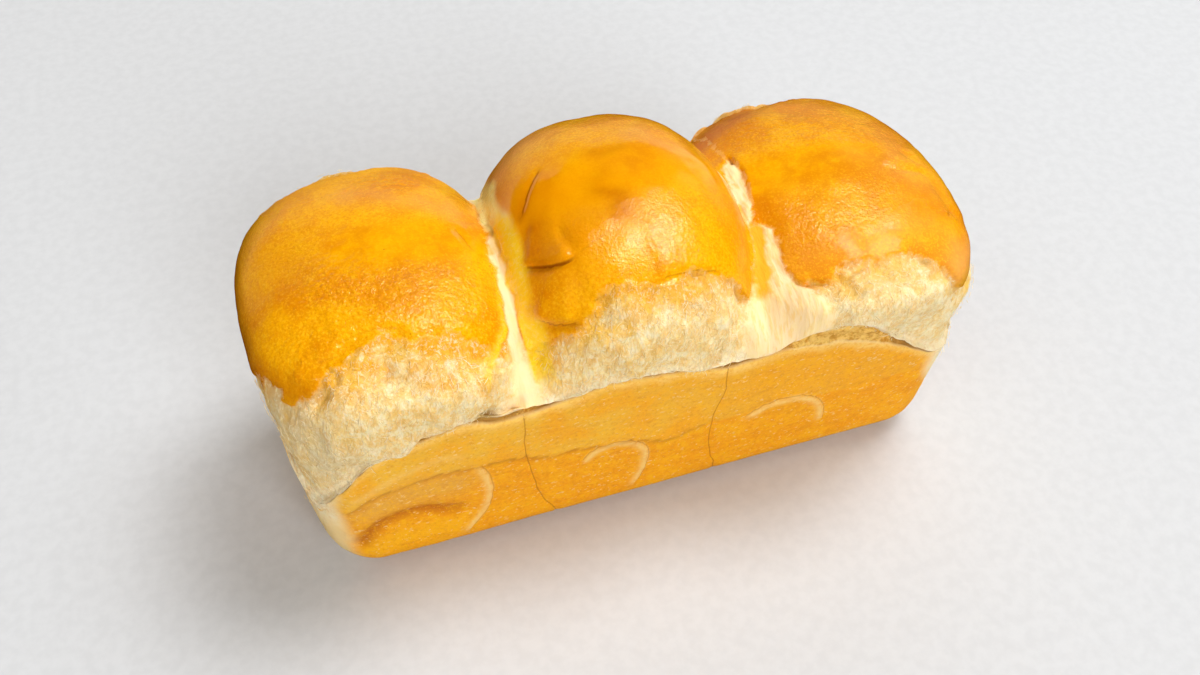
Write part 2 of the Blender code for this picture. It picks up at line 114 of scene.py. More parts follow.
# Raggedness of the tear: height, cell and seed of each layer of noise
RAGGED_TEAR = ((0.0010, 0.014, 5), (0.0005, 0.006, 6), (0.0003, 0.0022, 7))
RAGGED_LIP = ((0.0008, 0.0060, 8), (0.0007, 0.0022, 9))
LIP_OPENING = 0.0004
LEAST_GAP = 0.0001
SLOPING_GAP = 0.003

# How far round the corner, as parts of half the width, a side's values give way to the end's
END_STARTS = 0.75
END_FULL = 0.98
BACK_BLEND = 0.3

# The torn lip that overhangs the walls
LIP_RADIUS = 0.0032
LIP_LEAST = 0.0001
NOTCH_DEPTH = 0.0022
NOTCH_ROWS = 5
CORNER_CORE = 0.006
CORNER_REACH = 0.026
NOTCH_FULL = 0.35

# The crust's rim at the two ends, in degrees above level
END_RIM_ANGLES = (34.0, 22.0)

# How far from a fold its raised side and its brown, with painted shade in the crease, reach
FOLD_FADE = 0.010
CREASE_WIDTH = 0.0018

# Soft hollows in the humps: middle, radius and depth
HOLLOWS = (
    ((-0.0250, -0.0150, 0.0970), 0.0075, 0.0020),
    ((-0.0120, -0.0080, 0.1040), 0.0090, 0.0010),
    ((-0.0850, 0.0060, 0.0900), 0.0120, 0.0012),
    ((0.0380, -0.0300, 0.0860), 0.0090, 0.0012),
)

# Where the marks of the two long walls start and are full, across the loaf
WALL_FACE = (0.026, 0.032)

# Soft unevenness of the humps and of the walls, with the walls' grain: height, cell and seed of each layer
# of noise. The humps' relief starts a little way above the tear
HUMP_UNEVENNESS = ((0.0010, 0.028, 21),)
WALL_UNEVENNESS = ((0.0004, 0.034, 22), (0.00016, 0.0060, 71), (0.00008, 0.0022, 72))
HUMP_RELIEF = (0.004, 0.010)

# The axis inside the loaf from which the humps' skin is found
CORE_END_GAP = 0.030
CORE_HALF_WIDTH = 0.008
CORE_HEIGHT = 0.055
SIDE_TOP_ANGLE = np.radians(52.0)
SEARCH_REACH = 0.120
SEARCH_STEPS = 22

# How finely the visible skin is divided
CROWDED_COLUMNS = (-0.0355, 0.0220, 0.0350)
CROWDED_WIDTH = 0.0080
COLUMN_CROWDING = 0.5
COLUMNS = 232
ROWS_DEEP = 84
LEVELS_ROLL = 8
LEVELS_WALL = 38
LEVELS_LIP = 14
LEVELS_HUMP = 58
LIP_STARTS = LEVELS_ROLL + LEVELS_WALL
LIP_ENDS = LIP_STARTS + LEVELS_LIP
LEVELS = LIP_ENDS + LEVELS_HUMP

# The rim of the browned crust in detail, as (x, degrees above level): along -Y and along +Y
FRONT_RIM = (
    (-0.103, 34.0), (-0.099, 37.0), (-0.095, 35.0), (-0.091, 36.0), (-0.087, 43.0), (-0.078, 49.0),
    (-0.069, 54.0), (-0.065, 53.0), (-0.063, 49.0), (-0.052, 45.5), (-0.042, 40.0), (-0.036, 38.0),
    (-0.031, 40.0), (-0.029, 40.5), (-0.024, 43.0), (-0.021, 45.0), (-0.018, 49.0), (-0.007, 50.0),
    (-0.001, 50.5), (0.010, 50.5), (0.017, 48.5), (0.023, 40.0), (0.028, 38.0), (0.040, 37.0),
    (0.043, 38.0), (0.050, 41.5), (0.056, 42.5), (0.060, 43.5), (0.069, 43.0), (0.075, 40.0),
    (0.078, 36.0), (0.086, 24.0), (0.093, 16.0), (0.102, 20.0),
)
BACK_RIM = (
    (-0.102, 33.0), (-0.092, 36.0), (-0.080, 42.0), (-0.066, 44.0), (-0.052, 41.0), (-0.040, 36.0),
    (-0.026, 37.0), (-0.014, 43.0), (0.004, 45.0), (0.020, 41.0), (0.034, 34.0), (0.044, 36.0),
    (0.058, 41.0), (0.074, 39.0), (0.086, 30.0), (0.102, 22.0),
)

# The rim's edge: how its corners are rounded off, how ragged it is in degrees, and its height. The edges of
# crust and strands step up over twice a width in millimetres, and no reach is kept beyond the farthest
RIM_SOFTENING = (0.0015, 3)
MILLIMETRES_PER_DEGREE = 0.9
RIM_RAGGED = ((2.4, 0.0110, 31), (2.0, 0.0046, 32), (1.2, 0.0021, 33))
FINE_RIM_STEP = 0.0005
STEP_WIDTH = 0.7
FARTHEST = 20.0

# Finer relief than the solid's: size, cell and seed of each layer of noise, and how it is stretched
TORN_LUMPS = ((0.00150, 0.0090, 41), (0.00090, 0.0040, 42), (0.00045, 0.0019, 43))
TORN_STRETCH = (1.0, 1.0, 0.55)
CREVICES = ((1.0, 0.0068, 44), (0.5, 0.0034, 45))
CREVICE_WIDTH = 0.20
CREVICE_DEPTH = 0.0008
CREVICE_LEAST = 0.35
CREVICE_NEAR_CRUST = (-11.0, -2.0)
TORN_FROM_LIP = (-0.0005, 0.0008)
CORNER_CALM = 0.010
END_CALM = (0.088, 0.100)
END_CALM_SHARE = 0.6
STRAND_RIDGES = ((0.00045, 0.0022, 51), (0.00025, 0.0012, 52))
STRAND_STRETCH = (1.0, 0.22, 0.18)
STRAND_LUMPS = ((0.0009, 0.0046, 53), (0.0004, 0.0024, 54))
LUMPY_STRAND = (-0.022, -0.014)
CRUST_UNEVENNESS = ((0.00032, 0.0090, 61), (0.00010, 0.0030, 62))
GAP_CRUMBS = ((0.0006, 0.0030, 81), (0.0003, 0.0014, 82))
PATCH_WANDER = ((0.0016, 0.005, 95),)
WALL_WANDER = ((0.0003, 0.004, 96),)
UNDER_TEAR_RAGGED = ((0.0012, 0.004, 97),)
CORNER_WANDER = ((0.0020, 0.008, 98),)

# Creases and folds of the crust: a path on the skin, how brown it is from 0 to 1 (browning, and painted
# shade in the crease), how far one side is raised, how softly, and the groove's depth and width. All sizes
# here are in millimetres
FINE_FOLDS = (
    (((-31.5, -15, 92.5), (-29.2, -17.4, 94.3), (-24.6, -21.4, 97), (-20.8, -23.1, 98.6),
      (-18.2, -22.7, 100)), 0.9, 1.6, 0.5, 1.1, 0.9),
    (((-18.2, -22.7, 100), (-13.1, -21.3, 102.1), (-8.1, -19.5, 103.4),
      (-5, -16.5, 104.4)), 0.14, 0.5, 2.6, 0.2, 2.4),
    (((-31.1, -26.2, 85.4), (-27, -31.6, 86.2), (-20.8, -35.2, 89.1)), 0.5, 1.1, 0.8, 0.8, 1),
    (((-18.2, -33.3, 93.5), (-13.1, -33.7, 95.6), (-6.8, -34.3, 96.5)), 0.6, 0.5, 0.6, 0.5, 0.8),
    (((-1, -34.2, 96.7), (8.5, -33.4, 96.5), (17.2, -33, 93)), 0.4, 0.5, 0.6, 0.4, 0.8),
    (((-82.5, -27, 92.5), (-78.5, -26.5, 93.4), (-72.5, -26, 94.1), (-66.2, -26.9, 93.9), (-65, -30, 93),
      (-64, -32.5, 92)), 0.16, 0.7, 1.4, 0.4, 1.4),
    (((-88, -29, 90), (-83.2, -29.6, 91.6), (-79, -29.8, 92.1)), 0.12, 0.5, 1.4, 0.4, 1.4),
    (((-45, 6, 93), (-41, -5, 91)), 0.3, 0.2, 2, 0.5, 1.4),
    (((-18.2, 10.2, 102.9), (-22.3, 5.5, 101.6), (-25.3, 1.2, 99.8),
      (-27.7, -3.2, 97.8)), 0.65, 0.1, 1.2, 0.5, 1),
    (((75.5, -7.3, 92.4), (82.5, -8.8, 90.8), (91.3, -10.2, 87.3)), 0, 0.6, 1.2, 0.5, 1.6),
    (((86, 0.9, 89.7), (90, -7.4, 88), (90.6, -21.8, 86.4), (91.6, -27.5, 84.4)), 0, 0.6, 1.2, 0.5, 1.6),
    (((39, 9, 89), (38.8, 15, 88.8)), 1, 0, 1, 1.4, 1),
)

# The crust is pebbled lower down and smooth on top: degrees above level, seen from the loaf's core
PEBBLED_TO_SMOOTH = (73.0, 86.0)

# Lines on the two long walls, as (x, height) in millimetres: where two dough pieces met, the edge of the
# upper layer, and the edges of the rolled dough's ends
SEAMS = (
    ((-38.9, 64), (-38.9, 54.9), (-39.1, 45.2), (-37.9, 40.9), (-36.6, 31.3), (-34.8, 21.7), (-33, 15.5),
     (-30.2, 10.1), (-28.5, 2)),
    ((19, 64), (19.5, 56), (19.7, 49.6), (17.6, 40.6), (17.5, 33.8), (17.3, 24.6), (20.1, 14.5), (22, 4)),
)
LAYER_EDGE = (
    (-91.6, 36.6), (-88, 39.5), (-82.3, 43.7), (-74.9, 45.6), (-66.3, 47.2), (-57.5, 46.6), (-46.5, 45.8),
    (-39.6, 44.3), (-33.2, 41.3), (-27.5, 41.7), (-22.8, 40.7), (-14.1, 40.3), (-7.9, 39.1), (-1.6, 35.9),
    (3, 34.2), (6.2, 34), (9.5, 36), (13, 37.1), (17, 36.5),
)
ROLL_ENDS = (
    ((-54, 46), (-51.5, 45), (-49.8, 42.4), (-48.2, 34.1), (-49, 24.5), (-52.3, 17.5), (-57.8, 10.1)),
    ((-22.6, 31.4), (-21.4, 36.2), (-16.6, 39.6), (-11.6, 40.3), (-5.4, 37.1), (-1.6, 31.3), (-1.6, 23.9),
     (-2.8, 18.5), (-6, 11)),
    ((26.3, 33.5), (31.7, 37), (36, 38.8), (41.6, 39.4), (46, 38.5), (51.5, 35), (54.5, 29), (55.6, 20)),
)

# How wide and deep these lines are, how far layer and rolls stand out beside them, and where that fades
SEAM_WIDTH = 0.0007
SEAM_DEPTH = 0.0006
LAYER_STEP = 0.0006
LAYER_FADE = 0.0060
LAYER_EDGE_SIDES = (-0.0004, 0.0002)
LAYER_LINE_WIDTH = 0.0016
LOWER_FROM_EDGE = (-0.0006, 0.0010)
ROLL_EDGE_DEPTH = 0.0003
ROLL_PAD_HEIGHT = 0.0006
ROLL_PAD_FADE = 0.0040
ROLL_PAD_SIDES = (-0.0002, 0.0004)
PALE_PAD_INSET = 0.0010
PALE_PAD_WIDTH = 0.0014
LINE_TAPER = 0.0040
FOLD_TAPER = 0.0030

# Softer marks of the same walls, in millimetres: the hollow under the rolled end at the left, darkened
# with painted shade, the bulge below it, made lighter with painted light, the veil above it and the pale
# streak along the layer over it
WALL_HOLLOW = (
    (-87.3, 18.9), (-84.4, 24.7), (-81.1, 28), (-76.3, 29.7), (-70.2, 29.8), (-65.1, 28), (-60, 25.5),
)
WALL_BULGE = ((-84, 15), (-74, 18), (-62, 17))
WALL_VEIL = ((-83, 37), (-72, 41), (-60, 40))
PALE_STREAK = ((-89.4, 42.3), (-78.9, 49), (-70.4, 52.8), (-61.7, 54.7), (-54, 52.3))
# The hollow is darkened with painted shade and the bulge is lightened with painted light
WALL_SPOTS = dict(hollow=(WALL_HOLLOW, 0.0027), bulge=(WALL_BULGE, 0.0060), veil=(WALL_VEIL, 0.0070))
WALL_HOLLOW_DEPTH = 0.0013
PALE_STREAK_WIDTH = 0.0011
PALE_STREAK_SHARE = 0.5

# The two valleys between the humps, in millimetres at places across the loaf: y, then the x where the left
# hump's crust ends, the cream strand starts, the strand ends and the right hump's crust starts
VALLEYS = (
    (
        (-44, -50, -45, -32, -30), (-40, -47, -42, -33.5, -32.5), (-35, -44, -40.5, -34.5, -34),
        (-28, -39.6, -39.4, -34.7, -34.5), (-18, -37.5, -37.6, -34.5, -34.1),
        (-6, -37.1, -37.2, -35.1, -34.7), (2, -36.6, -36.7, -35.3, -34.7), (6, -35.4, -35.2, -35.6, -34.6),
        (15, -35.4, -35, -35.8, -34.6), (28, -37.2, -36, -34, -32), (40, -44, -40, -32, -26),
    ),
    (
        (-44, 22.5, 23.5, 45, 46), (-40, 24, 24.5, 42, 43), (-35, 25.8, 26.2, 38.5, 39.2),
        (-30, 28.8, 29.1, 37.6, 38), (-24, 31.8, 32, 38.2, 38.6), (-18, 34, 34.2, 38.6, 39),
        (-15.5, 33.7, 33.9, 37.2, 37.6), (-14, 33.3, 33.5, 34.6, 35), (-8, 32.6, 32.8, 37, 37.4),
        (0, 34, 34.2, 38.5, 38.9), (8, 35.4, 35.6, 39.8, 40.2), (11, 36.6, 36.8, 38.8, 39.2),
        (13, 38, 38, 38, 38), (34, 37, 37, 37, 37), (38, 33, 34, 38, 39), (43, 29, 30, 42, 43),
    ),
)
STRAND_SOFTNESS = 5.0
STRAND_CRISP = (0.076, 0.087)
VALLEY_RAGGED = ((0.0007, 0.0048, 91), (0.0004, 0.0020, 92))
THREADS_FROM_EDGE = (-0.5, 0.5)

# The yellow flank of the middle hump beside the first valley: y and the x where it ends, in millimetres.
# A fainter one lies beside the strand on the left hump
FLANK_END = (
    (-34, -28.5), (-29, -30), (-24, -31.2), (-19, -30.3), (-14, -30), (-7, -30), (3, -30.1), (10, -30.8),
    (26, -30),
)
FLANK_WANDER = ((0.0012, 0.006, 93),)
FLANK_FROM_STRAND = (-0.4, 0.4)
FLANK_FADE = (-0.0010, 0.0014)
FLANK_FRONT = (-0.040, -0.034)
FLANK_TOP = (-0.004, 0.012)
BESIDE_SHARE = 0.65
BESIDE_FROM_STRAND = (-0.2, 0.2)
BESIDE_FADE = (0.8, 3.0)
BESIDE_FRONT = (-0.042, -0.038)
BESIDE_BACK = (-0.024, -0.012)

# Patches of the skin, in millimetres: a path through each, its radius, and its strength from 0 to 1.
# Brown is browning of the crust, and also painted shade on the right hump's back-left flank and in the
# middle hump's dent. Deep is a deeper tone of the crust, and also painted shade in the middle hump's dents.
# Tan is partly a tan tone of the crust and partly a painted sheen. Blistered is the crust's knobbly gloss
# and dull takes the gloss away. Gold tints the torn crumb, and shade is painted shade on it, mostly at the
# left end.
# Opened is where the crust is torn open to lumps, and pocket is a deep hole of the torn side, darkened with
# painted shade. Those turned too lie on the hidden side as well, turned half round
PATCHES = dict(
    brown=(
        (((-25, -8, 99), (-27, -14, 96), (-26, -18, 96)), 4, 0.75),
        (((-6, -6, 105), (-3, -12, 105), (-5, -16, 104)), 3.6, 0.7),
        (((-3, 8, 106), (4, 9, 105)), 2.8, 0.6),
        (((-25.3, 1.2, 99.8), (-27.7, -3.2, 97.8)), 2.2, 0.6),
        (((-92, -2, 90), (-94, 12, 88)), 8, 0.35),
        (((38, 28, 86), (44, 31, 86), (50, 31, 87)), 7.5, 0.85),
        (((-101, -26, 80), (-103, 0, 80), (-101, 25, 80)), 6.5, 0.75),
        (((-90, -34, 83), (-96, -29, 83)), 5.5, 0.7),
        (((40, -10, 89), (40, -20, 88), (39, -28, 86)), 2.2, 0.45),
        (((-26, -31, 86), (-20, -35, 88)), 2.2, 0.55),
    ),
    deep=(
        (((-24, 2, 100), (-15, -6, 104), (-17, -16, 101)), 13, 0.9),
        (((-5, 0, 106), (5, -5, 105)), 16, 0.55),
        (((22, -10, 98), (26, -25, 90)), 8, 0.45),
        (((43, -10, 90), (44, -28, 88)), 7, 0.3),
        (((80, -25, 88), (90, -20, 84)), 10, 0.55),
    ),
    blistered=(
        (((-78, -12, 98), (-62, -16, 97), (-50, -20, 94)), 13, 1),
        (((-90, -24, 90), (-80, -26, 93)), 9, 0.7),
        (((54.5, -24, 91.5), (63, -27.5, 91)), 8, 0.9),
        (((2, -25, 101.7), (6, -28.5, 100)), 7, 0.45),
    ),
    dull=(
        (((42, -37, 86), (60, -39, 86), (78, -36, 85)), 10, 1),
    ),
    tan=(
        (((-31, 20, 91), (-25, 25, 96), (-18, 30, 97)), 7, 0.8),
        (((-70, 24, 95), (-56, 17, 95), (-45, 12, 92)), 4, 0.4),
        (((10, 14, 103), (20, 4, 101)), 4.5, 0.35),
        (((72, 0, 93), (82, -12, 90)), 5.5, 0.2),
        (((85, -41, 82), (92, -34, 79)), 5, 0.75),
    ),
    gold=(
        (((-93, -32, 79), (-87, -36, 82), (-80, -37, 86)), 3.4, 0.9),
        (((-64, -36, 89), (-56, -34, 89), (-48, -33, 87)), 3, 0.8),
        (((-85, -33, 89), (-79, -33.5, 90.5)), 4.2, 0.95),
        (((-74, -34, 91), (-70, -34.5, 90.5)), 2.6, 0.8),
        (((-61, -40, 87), (-57, -40, 85.5)), 3.4, 0.75),
        (((-48, -40, 81), (-46, -40, 78)), 2.6, 0.7),
        (((-28, -32, 85.5), (-23.3, -34.1, 87.5)), 3, 1),
        (((-30, -31.5, 82.5), (-29, -34.5, 77.5)), 3.4, 0.85),
        (((-6, -36.5, 94), (4, -37.2, 93.5), (13, -37, 91)), 4.8, 0.6),
        (((45, -39, 85), (49, -39, 86)), 2.8, 0.8),
        (((34, -17, 87), (32.5, -22.5, 85.2), (31.8, -28, 83)), 3, 0.95),
        (((31.8, -28, 83), (31, -32, 80.5)), 3, 0.65),
        (((35, -14, 87.5), (36.2, -13.5, 87.5)), 1.6, 0.9),
        (((34.5, -6, 88), (35, -10, 87.5)), 1.6, 0.8),
        (((36, 3, 88.5), (35.2, -1, 88.2)), 1.2, 0.55),
    ),
    opened=(
        (((-90.9, -29.6, 88.3), (-86.8, -33.6, 88.3), (-83.3, -32.8, 90.1)), 2.2, 0.85),
        (((-79.4, -32.4, 91.2), (-75, -30.6, 92.5), (-71.3, -30.1, 92.9)), 2, 0.8),
        (((-54.7, -29.4, 91.8), (-50.9, -30.3, 90.4), (-49.7, -32, 89.1)), 2.4, 1),
        (((-91.2, -34.1, 86), (-85.2, -36.1, 87), (-79.2, -36.1, 89)), 2.2, 0.6),
    ),
    pocket=(
        (((-49.7, -41.4, 68.7), (-46.2, -39.1, 65), (-43.6, -39.1, 64.9), (-40.9, -40.5, 67.4)), 1.6, 1),
        (((72.9, -40.7, 86.1), (73.6, -40.9, 85.5)), 1.2, 0.8),
        (((-94.2, -34.1, 79), (-91.2, -38.1, 74)), 2, 0.6),
    ),
    shade=(
        (((-96, -33, 79), (-95, -37, 68), (-90, -40, 60)), 11, 0.9),
        (((-25, -37, 82), (-18, -39, 79)), 6, 0.3),
    ),
)
TURNED_TOO = ("blistered", "dull", "gold", "pocket", "shade")
OPENED_BY = 3.6
OPEN_LUMPS = 0.0008
POCKET_DEPTH = 0.0010

# The fibres of torn crumb
FIBRES = 4200
FIBRE_SEED = 7
FIBRE_GROUND = 0.9
FIBRES_FROM_CRUST = (0.5, 4.0)
FIBRE_SCATTER = 0.0005
FIBRE_STEPS = 5
FIBRE_SIDES = 3
FIBRE_LENGTHS = (0.0010, 0.0034)
FIBRE_RADII = (0.00004, 0.00010)
FIBRE_LIFTS = (0.0000, 0.0003)
FIBRE_SPREAD = 0.7
FIBRE_BEND = 0.7
FIBRE_SUNK = 0.00005
FIBRE_CURL = 0.4
FIBRE_TIP = 0.25
FIBRE_PROFILE = (0.15, 0.75)

# Where the tin's walls stay pale, or torn: how far from the upright corners, and how far below the tear
PALE_CORNER = (0.0045, 0.0105)
END_FACE_SHARE = 0.55
PALE_RIGHT_CORNER = (0.6, 1.6)
PALE_RIGHT_HEIGHTS = (0.016, 0.042)
PALE_UNDER_TEAR = 0.0040
TORN_CORNER = (-0.022, -0.003)

# From what height the gap is open, and between which places the loaf's right part begins
NARROW_GAP = (0.0012, 0.0050)
TO_THE_RIGHT = (-0.03, 0.06)

# Colours as they are seen, red green blue from 0 to 255
CRUST_DEEP = (224, 137, 0)
CRUST_MAIN = (241, 166, 0)
CRUST_LIGHT = (249, 183, 0)
CRUST_SPECKLE = (255, 198, 36)
CRUST_BROWN = (186, 92, 0)
# Crease brown: browning, and painted shade in the creases
CREASE_BROWN_AND_SHADE = (140, 62, 0)
# Tan: partly the crust's own tone, partly painted sheen
CRUST_TAN_SHEEN = (230, 156, 80)
TORN_CREAM = (253, 226, 162)
TORN_PEACH = (248, 206, 128)
TORN_LIGHT = (255, 240, 202)
TORN_YELLOW = (246, 192, 72)
TORN_GOLD = (240, 166, 28)
TORN_LIP = (255, 240, 206)
# Painted shade of the torn crumb, mostly at the loaf's left end
TORN_PAINTED_SHADE = (226, 204, 156)
TORN_DARK = (222, 164, 62)
# Painted shade in the torn side's deep holes
TORN_POCKET_SHADE = (196, 156, 84)
STRAND_CREAM = (252, 222, 172)
STRAND_GOLD = (252, 174, 38)
FLANK_YELLOW = (255, 212, 38)
FLANK_TAN = (255, 234, 146)
WALL_TAN = (242, 184, 56)
WALL_GOLD = (246, 157, 0)
# Bright gold of the lower wall, also used as painted light on the bulge
WALL_BRIGHT = (255, 179, 0)
WALL_DEEP = (222, 138, 6)
WALL_VEILED = (228, 168, 68)
WALL_LIGHT = (252, 184, 0)
WALL_PALE = (250, 220, 156)
# Painted shade in the wall's hollow
WALL_HOLLOW_SHADE = (196, 108, 0)
GAP_YELLOW = (252, 202, 104)
GAP_SHADOW = (192, 142, 70)
# Darker crumbs inside the gap under the lip, with painted shade
GAP_SHADED_CRUMB = (214, 150, 52)
# Brown of the seams and roll edges, and painted shadow under the layer's edge
LINE_BROWN_AND_SHADOW = (176, 104, 8)
LINE_PALE = (248, 204, 120)
FLOOR_TONES = ((203, 205, 208), (208, 210, 213))

# How much the fine patterns are stretched: upwards on the torn side, and along the strands
UPRIGHT = (1.0, 1.0, 0.45)
ALONG_STRAND = (1.0, 0.24, 0.16)

# The bread's gloss: the crumb's roughness, what crust and wall add to it, and the dull patches' share
CRUMB_ROUGHNESS = 0.88
SMOOTH_CRUST = -0.76
PEBBLED_CRUST = -0.68
WALL_SMOOTHER = -0.20
DULLED_BY = 0.62
COAT = 0.06
BREAD_SURFACE = {
    "Coat Roughness": 0.12,
    "Specular IOR Level": 0.6,
    "Specular Tint": (1.0, 0.90, 0.62, 1.0),
    "Subsurface Weight": 0.12,
    "Subsurface Radius": (1.0, 0.55, 0.2),
    "Subsurface Scale": 0.002,
}

# The lamps round the loaf: place, size, power and colour. Soft lamps only light it, glossy ones only show
# in its gloss, and a size of two numbers makes a rectangle
SOFT_LAMPS = dict(
    key=((2.90, 0.40, 4.50), (2.7,), 92.0, (0.93, 0.97, 1.0)),
    front=((0.70, -4.20, 2.40), (2.6,), 160.0, (0.92, 0.96, 1.0)),
    fill=((-2.20, -1.60, 3.60), (2.4,), 28.0, (1.0, 0.88, 0.72)),
    top=((0.62, 0.20, 1.76), (0.80,), 15.5, (1.0, 1.0, 1.0)),
    rear=((1.10, 2.90, 1.75), (3.0,), 18.0, (1.0, 1.0, 1.0)),
)
GLOSSY_LAMPS = dict(
    gloss=((0.62, 0.20, 1.76), (0.40,), 17.0, (1.0, 1.0, 1.0)),
    back=((1.10, 2.90, 1.75), (5.0, 0.95), 6.5, (1.0, 1.0, 1.0)),
    horizon=((0.40, 2.60, 0.40), (8.0, 0.80), 11.0, (1.0, 1.0, 1.0)),
)
LAMP_TARGET = Vector((0.0, 0.0, 0.05))
SURROUND_COLOUR = (1.0, 0.86, 0.70, 1.0)
SURROUND_STRENGTH = 0.22
FLOOR_HALF = 6.0

# The camera, as the photo was taken: a 36 mm lens on a sensor 36 mm wide
CAMERA_TARGET = Vector((-0.0035, -0.0006, 0.0418))
CAMERA_DISTANCE = 0.3634
CAMERA_PITCH = np.radians(48.3)
CAMERA_AZIMUTH = np.radians(18.61)
CAMERA_ROLL = np.radians(0.46)
CAMERA_LENS = 36.0
SENSOR_WIDTH = 36.0
CLIP_START = 0.01


def smooth_step(value, low, high):
    """Rises from 0 at low to 1 at high, level at both ends."""
    part = np.clip((value - low) / (high - low), 0.0, 1.0)
    return part * part * (3.0 - 2.0 * part)


def smooth_noise(points, cell, seed):
    """Soft unevenness between -1 and 1, with humps about as wide as a cell."""
    size = 32
    lattice = np.random.default_rng(seed).uniform(-1.0, 1.0, (size, size, size))
    scaled = points / cell
    base = np.floor(scaled).astype(int)
    part = scaled - base
    part = part * part * (3.0 - 2.0 * part)
    total = np.zeros(len(points))
    for corner in product((0, 1), repeat=3):
        weight = np.prod(np.where(corner, part, 1.0 - part), axis=1)
        i, j, k = ((base + corner) % size).T
        total += weight * lattice[i, j, k]
    return total


def ragged(points, layers):
    """Several layers of soft noise added up. Each layer gives a size, a cell and a seed."""
    total = np.zeros(len(points))
    for size, cell, seed in layers:
        total += size * smooth_noise(points, cell, seed)
    return total


def wall_half_sizes(height):
    """Half the length and half the width between the tin's walls at a height."""
    lean = WALL_LEAN * height
    return BASE_LENGTH / 2 + lean, BASE_WIDTH / 2 + lean


def round_rectangle(u, v, half_length, half_width, radius):
    """Plan position, and outward direction, of a point (u, v) of the square from -1 to 1."""
    x = u * half_length
    y = v * half_width
    core_x = np.clip(x, radius - half_length, half_length - radius)
    core_y = np.clip(y, radius - half_width, half_width - radius)
    out_x = x - core_x
    out_y = y - core_y
    reach = np.maximum(np.hypot(out_x, out_y), 1e-9)
    square_to_round = np.maximum(np.abs(out_x), np.abs(out_y)) / reach
    place = np.stack([core_x + out_x * square_to_round, core_y + out_y * square_to_round], axis=1)
    outward = np.stack([out_x / reach, out_y / reach], axis=1)
    return place, outward


def corner_nearness(plan):
    """1 at the loaf's four upright corners, falling to 0 a little way along the walls."""
    half_length, half_width = wall_half_sizes(TEAR_HEIGHT)
    to_corner = np.hypot(np.abs(plan[:, 0]) - half_length, np.abs(plan[:, 1]) - half_width)
    return 1.0 - smooth_step(to_corner, CORNER_CORE, CORNER_REACH)


def level_points(plan):
    """Places or directions of the plan, as points or directions in space at height 0."""
    return np.column_stack([plan, np.zeros(len(plan))])


def soft_line(x, line, column, softening, samples):
    """A column of a list of points, read along x with its corners rounded off."""
    places, values = np.array(line)[:, [0, column]].T
    total = np.zeros(len(x))
    for step in np.linspace(-1.0, 1.0, samples):
        total += np.interp(x + step * softening, places, values)
    return total / samples


def front_back_end(plan, front_value, back_value, end_value):
    """Blends values that belong to the -Y side, the +Y side and the two ends of the loaf."""
    half_length, half_width = wall_half_sizes(TEAR_HEIGHT)
    past_core = np.abs(plan[:, 0]) - (half_length - half_width)
    on_end = smooth_step(past_core / half_width, END_STARTS, END_FULL)
    on_back = smooth_step(plan[:, 1] / half_width, -BACK_BLEND, BACK_BLEND)
    side_value = front_value + (back_value - front_value) * on_back
    return side_value + (end_value - side_value) * on_end


def along_tear(plan, column, end):
    """A column of the tear line along both long sides, the back turned half round, and the ends' value."""
    front, back = (soft_line(x, TEAR_LINE, column, *TEAR_SOFTENING) for x in (plan[:, 0], -plan[:, 0]))
    return front_back_end(plan, front, back, end)


def tear_height(plan):
    """Height at which the browned wall ends, for points of the wall's plan."""
    corner_height = TEAR_LINE[0][1]
    end = END_TEAR_HEIGHT + (corner_height - END_TEAR_HEIGHT) * corner_nearness(plan)
    return along_tear(plan, 1, end) + ragged(level_points(plan), RAGGED_TEAR)


def lip_gap(plan):
    """Height of the recessed gap between the browned wall and the lip."""
    gap = along_tear(plan, 2, TEAR_LINE[0][2]) + LIP_OPENING + ragged(level_points(plan), RAGGED_LIP)
    return np.maximum(gap, LEAST_GAP) * (1.0 - corner_nearness(plan))


def ellipsoid_field(points, middle, halves, plan_power, fullness, stretch_below):
    """Roughly the distance outside a squarish dome; negative inside."""
    offset = points - middle
    rise = np.where(offset[:, 2] > 0, halves[2], halves[2] * stretch_below)
    plan = (np.abs(offset[:, 0] / halves[0]) ** plan_power + np.abs(offset[:, 1] / halves[1]) ** plan_power)
    size = (plan ** (fullness / plan_power) + np.abs(offset[:, 2] / rise) ** fullness) ** (1.0 / fullness)
    return (size - 1.0) * halves[0]


def shoulder_field(points):
    """Distance outside the tin-shaped dough just above the rim."""
    half_length, half_width = wall_half_sizes(points[:, 2])
    inner_x = half_length - SHOULDER_INSET - CORNER_RADIUS
    inner_y = half_width - SHOULDER_INSET - CORNER_RADIUS
    over_x = np.abs(points[:, 0]) - inner_x
    over_y = np.abs(points[:, 1]) - inner_y
    outside = np.hypot(np.maximum(over_x, 0.0), np.maximum(over_y, 0.0))
    sideways = outside + np.minimum(np.maximum(over_x, over_y), 0.0) - CORNER_RADIUS + SHOULDER_ROUND
    upwards = points[:, 2] - SHOULDER_TOP + SHOULDER_ROUND
    outside = np.hypot(np.maximum(sideways, 0.0), np.maximum(upwards, 0.0))
    return outside + np.minimum(np.maximum(sideways, upwards), 0.0) - SHOULDER_ROUND


